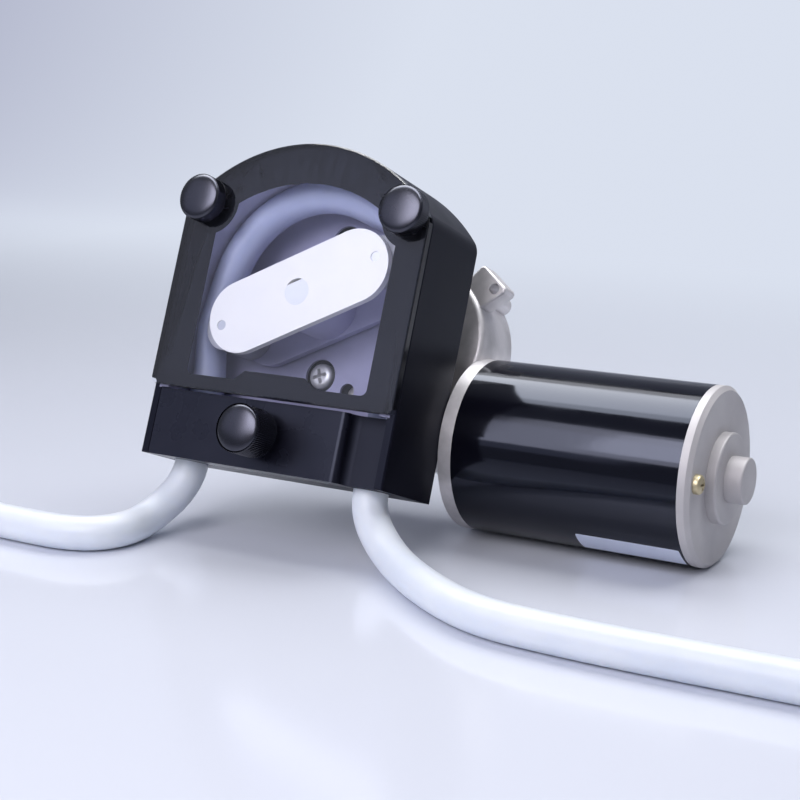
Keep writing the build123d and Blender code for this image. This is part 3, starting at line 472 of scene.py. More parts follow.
@dataclass(frozen=True)
class HeadFinish:
    """Black anodised head whose chamber and front land are left the grey of the bare anodised metal."""

    name: str
    outside: tuple[Colour, Colour] = ((0.005, 0.005, 0.009), (0.007, 0.007, 0.012))
    inside: tuple[Colour, Colour] = ((0.46, 0.45, 0.62), (0.41, 0.40, 0.56))
    roughness: tuple[float, float] = (0.30, 0.38)
    rougher_inside: float = 0.18
    half_width: float = 50.0
    back: float = 30.5
    bottom: float = -41.3
    arch_radius: float = 64.0
    edge: float = 0.3

    def build(self, space: PumpSpace) -> bpy.types.Material:
        """Make the material.

        The chamber's share is 1 where a point lies between the side walls, in front of the chamber's floor,
        above the clamp and under the arch, and falls to 0 within a fraction of a millimetre outside.

        Args:
            space: the pump frame.

        Returns:
            The material.
        """
        paint = Paint(self.name)
        x, y, z = paint.pump_axes(space)
        aside = paint.combine("ABSOLUTE", x, 0.0)
        wide = paint.spread(aside, 1.0, 0.0, self.half_width, self.half_width + self.edge)
        deep = paint.spread(y, 1.0, 0.0, self.back, self.back + self.edge)
        low = paint.spread(z, 0.0, 1.0, self.bottom - self.edge, self.bottom)
        reach = paint.reach(x, paint.combine("SUBTRACT", z, ARCH_CENTRE))
        under = paint.spread(reach, 1.0, 0.0, self.arch_radius, self.arch_radius + self.edge)
        straight = paint.spread(z, 1.0, 0.0, ARCH_CENTRE, ARCH_CENTRE + self.edge)
        arch = paint.combine("MAXIMUM", under, straight)
        share = paint.combine("MULTIPLY", paint.combine("MULTIPLY", wide, deep),
                              paint.combine("MULTIPLY", low, arch))
        cloud = paint.clouds(55.0, 3.0)
        base = paint.mix_colours(share, paint.blend(cloud, *self.outside), paint.blend(cloud, *self.inside))
        paint.link(base, paint.shader.inputs["Base Color"])
        gloss = paint.spread(cloud, *self.roughness)
        rough = paint.combine("ADD", gloss, paint.combine("MULTIPLY", share, self.rougher_inside))
        paint.link(rough, paint.shader.inputs["Roughness"])
        paint.set(Specular_IOR_Level=0.14, Specular_Tint=(0.62, 0.70, 1.0))
        paint.anodised_skin()
        return paint.material


@dataclass(frozen=True)
class ClampFinish:
    """Satin black anodised clamp, left matt in the recess beside its face."""

    name: str
    face: tuple[Colour, Colour] = ((0.006, 0.006, 0.011), (0.008, 0.008, 0.014))
    roughness: float = 0.25
    uneven: float = 0.06
    rougher_recess: float = 0.32
    recess_start: float = 34.5
    recess_depth: float = 2.2
    edge: float = 1.0

    def build(self, space: PumpSpace) -> bpy.types.Material:
        """Make the material; the recess's share is 1 past the end of the face and behind its rounded edge.

        Args:
            space: the pump frame.

        Returns:
            The material.
        """
        paint = Paint(self.name)
        x, y, _ = paint.pump_axes(space)
        beside = paint.spread(x, 0.0, 1.0, self.recess_start - self.edge, self.recess_start)
        behind = paint.spread(y, 0.0, 1.0, self.recess_depth - self.edge, self.recess_depth)
        share = paint.combine("MULTIPLY", beside, behind)
        cloud = paint.clouds(60.0, 4.0)
        lift = paint.combine("ADD", paint.combine("MULTIPLY", cloud, self.uneven),
                             paint.combine("MULTIPLY", share, self.rougher_recess))
        paint.link(paint.blend(cloud, *self.face), paint.shader.inputs["Base Color"])
        paint.link(paint.combine("ADD", lift, self.roughness), paint.shader.inputs["Roughness"])
        paint.set(Specular_IOR_Level=0.3, Specular_Tint=(0.70, 0.76, 1.0))
        paint.anodised_skin()
        return paint.material


@dataclass(frozen=True)
class GlossPaint:
    """Smooth stoved paint with a slight orange-peel skin and faint handling marks."""

    name: str
    colour: Colour
    roughness: tuple[float, float] = (0.08, 0.14)
    peel: float = 200.0
    peel_height: float = 0.00001
    specular: float = 0.4

    def build(self) -> bpy.types.Material:
        """Make the material.

        Returns:
            The material.
        """
        paint = Paint(self.name)
        paint.set(Base_Color=self.colour, Specular_IOR_Level=self.specular, Specular_Tint=(0.74, 0.80, 1.0))
        marks = paint.noise(paint.coordinates((1.0, 3.0, 3.0)), 35.0, 5.0)
        paint.link(paint.spread(marks, *self.roughness, 0.4, 0.7), paint.shader.inputs["Roughness"])
        paint.bump(paint.noise(paint.coordinates(), self.peel, 1.0), self.peel_height)
        return paint.material


@dataclass(frozen=True)
class ClearSheet:
    """Clear acrylic cover that mirrors its surroundings faintly.

    Its rim shows the black border print from inside and looks black.
    """

    name: str
    tint: Colour = (0.97, 0.98, 1.0)
    roughness: float = 0.05
    half_width: float = 52.3
    arch_radius: float = 67.1
    bottom: float = -40.5
    front: float = -2.5
    square_on: float = 0.045

    def shares(self, paint: Paint, space: PumpSpace) -> tuple[Socket, Socket]:
        """Shares of the rim and of the front face.

        The rim's is 1 past the side, past the arch or under the foot of the sheet, and 0 elsewhere.

        Args:
            paint: the material under construction.
            space: the pump frame.

        Returns:
            The two value sockets.
        """
        x, y, z = paint.pump_axes(space)
        front = paint.combine("LESS_THAN", y, self.front)
        side = paint.combine("GREATER_THAN", paint.combine("ABSOLUTE", x, 0.0), self.half_width)
        over = paint.combine("SUBTRACT", z, ARCH_CENTRE)
        beyond = paint.combine("GREATER_THAN", paint.reach(x, over), self.arch_radius)
        arch = paint.combine("MULTIPLY", beyond, paint.combine("GREATER_THAN", over, 0.0))
        foot = paint.combine("LESS_THAN", z, self.bottom)
        return paint.combine("MAXIMUM", paint.combine("MAXIMUM", side, arch), foot), front

    def build(self, space: PumpSpace) -> bpy.types.Material:
        """Make the material: gloss over clear.

        The gloss's share is small square on and rises with the fifth power of the slant towards grazing.

        Args:
            space: the pump frame.

        Returns:
            The material.
        """
        paint = Paint(self.name)
        paint.set(Base_Color=(0.006, 0.006, 0.009), Roughness=0.15)
        clear = paint.node("ShaderNodeBsdfTransparent")
        clear.inputs["Color"].default_value = (*self.tint, 1.0)
        gloss = paint.node("ShaderNodeBsdfGlossy")
        gloss.inputs["Color"].default_value = (1.0, 1.0, 1.0, 1.0)
        smears = paint.noise(paint.coordinates(), 28.0, 4.0)
        smeared = paint.spread(smears, self.roughness * 0.8, self.roughness * 1.6, 0.35, 0.7)
        paint.link(smeared, gloss.inputs["Roughness"])
        facing = paint.node("ShaderNodeLayerWeight")
        facing.inputs["Blend"].default_value = 0.5
        grazing = paint.combine("POWER", facing.outputs["Facing"], 5.0)
        sheet = paint.node("ShaderNodeMixShader")
        rim, front = self.shares(paint, space)
        mirrored = paint.spread(grazing, self.square_on, 1.0)
        paint.link(paint.combine("MULTIPLY", mirrored, front), sheet.inputs[0])
        paint.link(clear.outputs[0], sheet.inputs[1])
        paint.link(gloss.outputs[0], sheet.inputs[2])
        mix = paint.node("ShaderNodeMixShader")
        paint.link(rim, mix.inputs[0])
        paint.link(sheet.outputs[0], mix.inputs[1])
        paint.link(paint.shader.outputs[0], mix.inputs[2])
        paint.link(mix.outputs[0], paint.output.inputs["Surface"])
        return paint.material


@dataclass(frozen=True)
class MilkyHose:
    """Translucent silicone hose: pale, waxy and slightly clouded."""

    name: str
    colour: Colour = (0.78, 0.82, 0.89)
    shade: Colour = (0.71, 0.76, 0.86)

    def build(self) -> bpy.types.Material:
        """Make the material.

        Returns:
            The material.
        """
        paint = Paint(self.name)
        paint.set(Subsurface_Weight=0.35, Subsurface_Scale=0.004, IOR=1.41, Specular_IOR_Level=0.34)
        paint.shader.inputs["Subsurface Radius"].default_value = (0.9, 1.0, 1.2)
        cloud = paint.noise(paint.coordinates(), 45.0, 3.0)
        paint.link(paint.blend(paint.spread(cloud, 0.0, 1.0, 0.3, 0.7), self.colour, self.shade),
                   paint.shader.inputs["Base Color"])
        paint.link(paint.spread(cloud, 0.33, 0.40, 0.3, 0.7), paint.shader.inputs["Roughness"])
        paint.bump(paint.noise(paint.coordinates(), 900.0, 2.0), 0.00001)
        return paint.material


@dataclass(frozen=True)
class MouldedPlastic:
    """Moulded or printed plastic with a fine skin."""

    name: str
    colour: Colour
    shade: Colour
    roughness: tuple[float, float] = (0.3, 0.45)
    grain: float = 1800.0
    specular: float = 0.5
    tint: Colour = (1.0, 1.0, 1.0)

    def build(self) -> bpy.types.Material:
        """Make the material.

        Returns:
            The material.
        """
        paint = Paint(self.name)
        paint.set(Specular_IOR_Level=self.specular, Specular_Tint=self.tint)
        cloud = paint.noise(paint.coordinates(), 80.0, 3.0)
        paint.link(paint.blend(cloud, self.colour, self.shade), paint.shader.inputs["Base Color"])
        paint.link(paint.spread(cloud, *self.roughness, 0.3, 0.7), paint.shader.inputs["Roughness"])
        paint.bump(paint.noise(paint.coordinates(), self.grain, 2.0), 0.00001)
        return paint.material


# ---------------------------------------------------------------------------
# Round forms shared by several pieces
# ---------------------------------------------------------------------------
def frame_along(path: np.ndarray) -> tuple[np.ndarray, np.ndarray]:
    """Directions that follow a path without twisting.

    The tangent is the central difference. The side direction of each point is the one before it with its
    part along the new tangent taken out, and the third is square to both.

    Args:
        path: points along the path.

    Returns:
        Side directions and third directions, one row per point.
    """
    tangent = np.gradient(path, axis=0)
    tangent /= np.linalg.norm(tangent, axis=1, keepdims=True)
    side = np.zeros_like(tangent)
    helper = np.array([1.0, 0.0, 0.0]) if abs(tangent[0, 0]) < 0.9 else np.array([0.0, 1.0, 0.0])
    current = helper - tangent[0] * (helper @ tangent[0])
    for number, along in enumerate(tangent):
        current = current - along * (current @ along)
        current = current / np.linalg.norm(current)
        side[number] = current
    return side, np.cross(tangent, side)


def tube_grid(path: np.ndarray, radius: float, around: int) -> np.ndarray:
    """Round tube wall along a path.

    Each point is the path's plus the radius times cosine and sine on the two cross directions.

    Args:
        path: points along the path.
        radius: the tube's radius.
        around: number of points round it.

    Returns:
        Grid of points.
    """
    side, third = frame_along(path)
    angle = np.linspace(0.0, 2 * math.pi, around, endpoint=False)
    ring = np.cos(angle)[None, :, None] * side[:, None, :] + np.sin(angle)[None, :, None] * third[:, None, :]
    return path[:, None, :] + radius * ring


# ---------------------------------------------------------------------------
# Hose
# ---------------------------------------------------------------------------
@dataclass
class HoseEnd:
    """One end of the hose, from under the head down to the ground and away."""

    name: str
    node: str
    exit_x: float
    route: Sequence[tuple[float, float]]
    drop: float = 8.0
    radius: float = 6.35
    bore: float = 3.95
    doubled: float = 0.01
    around: int = 48

    def points(self, space: PumpSpace) -> list[Vector]:
        """Control points of the route: straight out of the head, then along the ground.

        Args:
            space: the pump frame.

        Returns:
            Points in the row frame, in metres.
        """
        start = space.point(self.exit_x, HOSE_DEPTH, HEAD_BOTTOM)
        down = space.direction(0.0, 0.0, -1.0)
        along = [start, start + down * self.drop * MM]
        along += [Vector((start.x + x * MM, start.y + y * MM, self.radius * MM)) for x, y in self.route]
        return along

    def centreline(self, space: PumpSpace) -> np.ndarray:
        """Points read from the route's smooth curve, each that lies on the one before left out.

        Args:
            space: the pump frame.

        Returns:
            Array of points from the head to the hose's end.
        """
        data = bpy.data.curves.new(self.name + "_route", "CURVE")
        data.dimensions = "3D"
        data.resolution_u = 24
        spline = data.splines.new("NURBS")
        control = self.points(space)
        spline.points.add(len(control) - 1)
        for target, point in zip(spline.points, control):
            target.co = (*point, 1.0)
        spline.order_u = 3
        spline.use_endpoint_u = True
        carrier = bpy.data.objects.new(self.name + "_route", data)
        bpy.context.scene.collection.objects.link(carrier)
        bpy.context.view_layer.update()
        line = bpy.data.meshes.new_from_object(carrier)
        path = np.array([vertex.co for vertex in line.vertices], float)
        bpy.data.objects.remove(carrier)
        bpy.data.meshes.remove(line)
        if np.linalg.norm(path[0] - np.array(control[0])) > np.linalg.norm(path[-1] - np.array(control[0])):
            path = path[::-1]
        apart = np.linalg.norm(np.diff(path, axis=0), axis=1) > self.doubled * MM
        return path[np.concatenate([[True], apart])]

    def build(self, space: PumpSpace, finish: bpy.types.Material) -> bpy.types.Object:
        """Make the hose end: outer wall, bore and the two flat cut ends.

        Args:
            space: the pump frame.
            finish: the hose's material.

        Returns:
            The piece.
        """
        path = self.centreline(space)
        outer = tube_grid(path, self.radius * MM, self.around)
        inner = tube_grid(path, self.bore * MM, self.around)[::-1]
        piece = Shell()
        piece.add(np.concatenate([outer, inner]), wrap_rows=True)
        made = piece.mesh(self.name)
        sharpen(made, 50.0)
        stand_in(made, finish, "frame", self.node)
        return made


@dataclass
class HoseInHead:
    """The hose inside the head: up one side, over the rotor and down the other, squeezed by the two rollers.

    The outer side of the hose lies against the chamber's wall all along. Where a roller presses, the hose
    grows thinner and wider.
    """

    name: str = "hose_in_head"
    node: str = "hose_loop"
    wall_radius: float = 45.95
    outer: float = 12.7
    wall: float = 2.4
    closed: float = 3.56
    flat_width: float = 19.95
    narrowing: float = 0.571
    squareness: float = 0.42
    sliver: float = 0.06
    rotor_reach: float = 36.0
    pinches: Sequence[tuple[float, float, float]] = ((27.0, 3.56, 14.5), (203.0, 7.1, 13.0))
    along: int = 420
    around: int = 56

    def thickness(self, run: np.ndarray) -> np.ndarray:
        """Hose thickness between wall and rotor: the full size less a bell-shaped dip at each roller.

        Args:
            run: distance along the hose from the bottom of its right leg.

        Returns:
            Thickness at each distance.
        """
        thick = np.full_like(run, self.outer)
        for degrees, least, spread in self.pinches:
            past = math.radians(degrees) * HOSE_BEND
            if degrees > 180:
                past = math.pi * HOSE_BEND + math.tan(math.radians(degrees - 180)) * self.rotor_reach
            thick -= (self.outer - least) * np.exp(-(((run + HEAD_BOTTOM - past) / spread) ** 2))
        return thick

    def line(self, run: np.ndarray) -> tuple[np.ndarray, np.ndarray]:
        """Foot points on the rotor's side and outward directions: straight leg, half circle, straight leg.

        Args:
            run: distance along the hose.

        Returns:
            Foot points (on the rotor axis level for the half circle) and unit directions towards the wall.
        """
        leg, arc = -HEAD_BOTTOM, math.pi * HOSE_BEND
        angle = np.clip((run - leg) / HOSE_BEND, 0.0, math.pi)
        height = np.where(run < leg, run - leg, np.where(run > leg + arc, leg + arc - run, 0.0))
        foot = np.stack([np.zeros_like(run), np.full_like(run, HOSE_DEPTH), height], axis=1)
        outward = np.stack([np.cos(angle), np.zeros_like(run), np.sin(angle)], axis=1)
        return foot, outward

    def rings(self, run: np.ndarray, inset: float) -> np.ndarray:
        """Rounded cross sections: half sizes times signed powers of cosine and sine.

        A thinner hose is wider, and its section turns from round towards a flat oval.

        Args:
            run: distance along the hose.
            inset: how far inside the outer skin the surface lies.

        Returns:
            Grid of points in pump millimetres.
        """
        thick = self.thickness(run)
        foot, outward = self.line(run)
        half = np.maximum(thick / 2 - inset, self.sliver)
        wide = np.maximum((self.flat_width - self.narrowing * thick) / 2 - inset, self.sliver)
        squeeze = np.clip((self.outer - thick) / (self.outer - self.closed), 0.0, 1.0)
        power = 1.0 - self.squareness * squeeze
        angle = np.linspace(0.0, 2 * math.pi, self.around, endpoint=False)
        cosine, sine = np.cos(angle)[None, :], np.sin(angle)[None, :]
        across = np.sign(cosine) * np.abs(cosine) ** power[:, None] * half[:, None]
        deep = np.sign(sine) * np.abs(sine) ** power[:, None] * wide[:, None]
        middle = (self.wall_radius - thick / 2)[:, None, None] * outward[:, None, :] + foot[:, None, :]
        back = np.array([0.0, 1.0, 0.0])[None, None, :]
        return middle + across[:, :, None] * outward[:, None, :] + deep[:, :, None] * back

    def build(self, space: PumpSpace, finish: bpy.types.Material) -> bpy.types.Object:
        """Make the hose.

        Args:
            space: the pump frame.
            finish: the hose's material.

        Returns:
            The piece.
        """
        run = np.linspace(0.0, -2 * HEAD_BOTTOM + math.pi * HOSE_BEND, self.along)
        grid = np.concatenate([self.rings(run, 0.0), self.rings(run, self.wall)[::-1]])
        shell = Shell()
        shell.add(space.place(grid), wrap_rows=True)
        made = shell.mesh(self.name)
        sharpen(made, 60.0)
        stand_in(made, finish, "frame", self.node)
        log.info("%s runs %.0f mm inside the head", self.name, float(run[-1]))
        return made


# ---------------------------------------------------------------------------
# Thumb screws
# ---------------------------------------------------------------------------
@dataclass
class ThumbScrew:
    """Round moulded knob with a broad dome, a turned rim and fine straight knurling."""

    name: str
    node: str
    body: str
    x: float
    z: float
    base: float
    length: float
    stud_radius: float
    neck_radius: float = 0.0
    neck_length: float = 0.0
    radius: float = 8.7
    dome: float = 1.5
    play: float = 0.03
    buried: float = 0.6
    ribs: int = 72
    rib_depth: float = 0.22
    turns: int = 576

    def profile(self) -> np.ndarray:
        """Section of the knob: radius, distance in front of the base and knurl share.

        The rows run from the end of the stud's bore over the neck, the turned back rim, the knurled band and
        the turned front rim to the dome, whose section is a quarter of an ellipse.

        Returns:
            Array of three columns.
        """
        grip, front = self.neck_length, self.neck_length + self.length
        bore, buried = self.stud_radius + self.play, self.neck_length + self.length * self.buried + 0.05
        rows = [(0.0, buried, 0.0), (bore, buried, 0.0), (bore, 0.0, 0.0)]
        if self.neck_length > 0:
            neck = self.neck_radius
            rows += [(neck - 0.3, 0.0, 0.0), (neck, 0.3, 0.0), (neck, grip, 0.0)]
        wide = self.radius
        rows += [(wide - 0.9, grip, 0.0), (wide - 0.35, grip + 0.05, 0.0), (wide - 0.05, grip + 0.45, 0.0)]
        knurl = np.linspace(grip + 0.9, front - 1.5, 14)
        rows += [(wide, float(y), 1.0) for y in knurl]
        rim = front - self.dome
        rows += [(wide, rim - 0.35, 0.0), (wide - 0.10, rim - 0.12, 0.0), (wide - 0.32, rim, 0.0)]
        crown = wide - 0.42
        angle = np.linspace(0.12, math.pi / 2, 20)
        rows += [(crown * math.cos(a), rim + self.dome * math.sin(a) * 0.98, 0.0) for a in angle]
        return np.array(rows)

    def build(self, space: PumpSpace, finish: bpy.types.Material) -> bpy.types.Object:
        """Turn the profile about the screw's axis.

        The knurl takes its depth times a power of (1 + cosine of ribs times the angle) / 2 off the radius.

        Args:
            space: the pump frame.
            finish: the knob's material.

        Returns:
            The piece.
        """
        rows = self.profile()
        angle = np.linspace(0.0, 2 * math.pi, self.turns, endpoint=False)
        cut = self.rib_depth * (0.5 + 0.5 * np.cos(self.ribs * angle)) ** 1.5
        radius = rows[:, 0, None] - rows[:, 2, None] * cut[None, :]
        x = self.x + radius * np.cos(angle)
        z = self.z + radius * np.sin(angle)
        y = np.broadcast_to(self.base - rows[:, 1, None], radius.shape)
        shell = Shell()
        shell.add(space.place(np.stack([x, y, z], axis=2)))
        made = shell.mesh(self.name, merge=SAME_POINT)
        sharpen(made, 42.0)
        stand_in(made, finish, self.body, self.node)
        log.info("%s stands %.1f mm proud", self.name, self.length + self.neck_length)
        return made


# ---------------------------------------------------------------------------
# Screws
# ---------------------------------------------------------------------------
@dataclass
class ScrewSet:
    """Round-headed screws of one size, each with its cross recess and threaded shank."""

    name: str
    node: str
    slot: str
    seats: Sequence[Seat]
    head_radius: float
    head_height: float
    shank_radius: float
    shank_length: float
    crown: float = 0.45
    crown_width: float = 1.4
    bar_length: float = 0.58
    bar_width: float = 0.135
    recess_slope: float = 5.0
    recess_floor: float = 0.55
    first_turn: float = 17.0
    next_turn: float = 31.0
    pitch: float = 0.8
    thread_depth: float = 0.18
    rings: int = 34
    around: int = 96

    def head_top(self, radius: np.ndarray, angle: np.ndarray) -> np.ndarray:
        """Height of the head over its seat: a flat top rounded off to the rim, less the cross recess.

        The recess is as deep as the distance inside the nearer of two crossed bars, times a slope, up to its
        floor.

        Args:
            radius: distance from the axis.
            angle: direction round the axis.

        Returns:
            Height at each point.
        """
        rounding = self.head_height * self.crown
        width = rounding * self.crown_width
        outer = np.clip((radius - (self.head_radius - width)) / width, 0.0, 1.0)
        top = self.head_height - rounding * (1.0 - np.sqrt(np.clip(1.0 - outer**2, 0.0, 1.0)))
        u, v = radius * np.cos(angle), radius * np.sin(angle)
        arm, half = self.head_radius * self.bar_length, self.head_radius * self.bar_width
        first = np.minimum(arm - np.abs(u), half - np.abs(v))
        second = np.minimum(arm - np.abs(v), half - np.abs(u))
        inside = np.clip(np.maximum(first, second), 0.0, None)
        return top - np.minimum(inside * self.recess_slope, self.head_height * self.recess_floor)

    def grid(self) -> np.ndarray:
        """One screw about its own axis: head top from pole to rim, side, seat, threaded shank and tip.

        The thread takes its depth times (1 - cosine of the turns down the shank less the angle) / 2 off the
        shank's radius.

        Returns:
            Grid of points.
        """
        angle = np.linspace(0.0, 2 * math.pi, self.around, endpoint=False)[None, :]
        radius = np.linspace(0.0, self.head_radius, self.rings)[:, None]
        radius, wide = np.broadcast_arrays(radius, angle)
        top = np.stack([radius * np.cos(wide), radius * np.sin(wide), self.head_top(radius, wide)], axis=2)
        down = np.arange(0.0, self.shank_length, self.pitch / 6)[:, None]
        wave = self.thread_depth * (0.5 - 0.5 * np.cos(2 * math.pi * down / self.pitch - angle))
        fade = np.clip(down / 1.0, 0.0, 1.0)
        thread = self.shank_radius - wave * fade
        cosine, sine = np.cos(angle), np.sin(angle)
        shank = np.stack([thread * cosine, thread * sine, np.broadcast_to(-down, thread.shape)], axis=2)
        seat = np.stack([self.head_radius * cosine, self.head_radius * sine, 0 * angle], axis=2)
        tip_radius = np.array([[self.shank_radius - 0.6], [0.0]])
        depth = np.broadcast_to(np.array([[-self.shank_length], [-self.shank_length]]), (2, self.around))
        tip = np.stack([tip_radius * cosine, tip_radius * sine, depth], axis=2)
        return np.concatenate([top, seat, shank, tip])

    def build(self, space: PumpSpace, finish: bpy.types.Material) -> bpy.types.Object:
        """Set one screw at each seat.

        Args:
            space: the pump frame.
            finish: the screws' material.

        Returns:
            The piece.
        """
        shell, one = Shell(), self.grid()
        for number, (seat, outward) in enumerate(self.seats):
            axis = np.array(outward, float)
            side = np.array([0.0, 0.0, 1.0]) if abs(axis[2]) < 0.9 else np.array([1.0, 0.0, 0.0])
            turn = math.radians(self.first_turn + self.next_turn * number)
            third = np.cross(axis, side)
            first = math.cos(turn) * side + math.sin(turn) * third
            basis = np.array([first, np.cross(axis, first), axis])
            shell.add(space.place(one @ basis + np.array(seat, float)))
        made = shell.mesh(self.name, merge=SAME_POINT)
        sharpen(made, 38.0)
        stand_in(made, finish, "frame", self.node)
        log.info("%s has %d screws", self.name, len(self.seats))
        return made


def round_seats(centre: tuple[float, float], radius: float, degrees: Sequence[float], depth: float,
                outward: Point) -> list[Seat]:
    """Seats on a circle in a plane across the pump's depth.

    Args:
        centre: x and z of the circle's centre.
        radius: the circle's radius.
        degrees: where the seats lie, from x towards z.
        depth: y of the plane.
        outward: direction the heads look.

    Returns:
        Seat points and directions.
    """
    x, z = centre
    turns = [math.radians(value) for value in degrees]
    return [((x + radius * math.cos(turn), depth, z + radius * math.sin(turn)), outward) for turn in turns]


@dataclass
class MotorLabel:
    """Thin blank paper strip stuck low on the motor can."""

    name: str = "blank_label"
    radius: float = 32.05
    start: float = 104.0
    end: float = 142.6
    top: float = -62.0
    bottom: float = -83.0
    thickness: float = 0.12

    def build(self, space: PumpSpace, finish: bpy.types.Material) -> bpy.types.Object:
        """Make the strip: a patch of the can's round wall, from one skin out to another.

        A high power of the distance along an edge draws it in at its ends, which rounds the corners.

        Args:
            space: the pump frame.
            finish: the paper's material.

        Returns:
            The piece.
        """
        across = np.linspace(-1.0, 1.0, 25)
        along = np.linspace(-1.0, 1.0, 49)
        u, v = np.meshgrid(along, across, indexing="ij")
        x = (self.start + self.end) / 2 + (self.end - self.start) / 2 * u * (1.0 - 0.012 * v**6)
        middle, half = (self.top + self.bottom) / 2, (self.top - self.bottom) / 2
        angle = np.radians(middle + half * v * (1.0 - 0.03 * np.abs(u)**12))
        layers = []
        for radius in (self.radius + 0.01, self.radius + self.thickness):
            y = MOTOR_Y - radius * np.cos(angle)
            z = MOTOR_Z + radius * np.sin(angle)
            layers.append(np.stack([x, y, z], axis=2))
        inner, outer = layers
        edge = [np.s_[:, 0], np.s_[-1, :], np.s_[::-1, -1], np.s_[0, ::-1]]
        shell = Shell()
        shell.add(space.place(outer), wrap_columns=False)
        shell.add(space.place(inner[::-1]), wrap_columns=False)
        for side in edge:
            shell.add(space.place(np.stack([inner[side], outer[side]])), wrap_columns=False)
        made = shell.mesh(self.name, merge=2 * SAME_POINT)
        sharpen(made, 40.0)
        made.data.materials.append(finish)
        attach(made, "frame")
        log.info("%s is %.0f mm long", self.name, self.end - self.start)
        return made


# ---------------------------------------------------------------------------
# Studio
# ---------------------------------------------------------------------------
@dataclass(frozen=True)
class Lamp:
    """Rectangular soft lamp that looks at a point and never shows to the camera itself.

    Its radiance is how bright its face is, and its power is that times pi times its area.
    """

    name: str
    place: Point
    target: Point
    size: tuple[float, float]
    radiance: float
    colour: Colour = (1.0, 1.0, 1.0)
    kind: LampKind = LampKind.SOFTBOX

    def build(self) -> None:
        """Add the lamp to the scene."""
        data = bpy.data.lights.new(self.name, "AREA")
        data.shape = "RECTANGLE"
        data.size, data.size_y = self.size
        data.energy = self.radiance * math.pi * data.size * data.size_y
        data.color = self.colour
        lamp = bpy.data.objects.new(self.name, data)
        lamp.location = self.place
        lamp.rotation_euler = (Vector(self.target) - Vector(self.place)).to_track_quat("-Z", "Y").to_euler()
        lamp.visible_camera = False
        lamp.visible_diffuse = self.kind is LampKind.SOFTBOX
        bpy.context.scene.collection.objects.link(lamp)


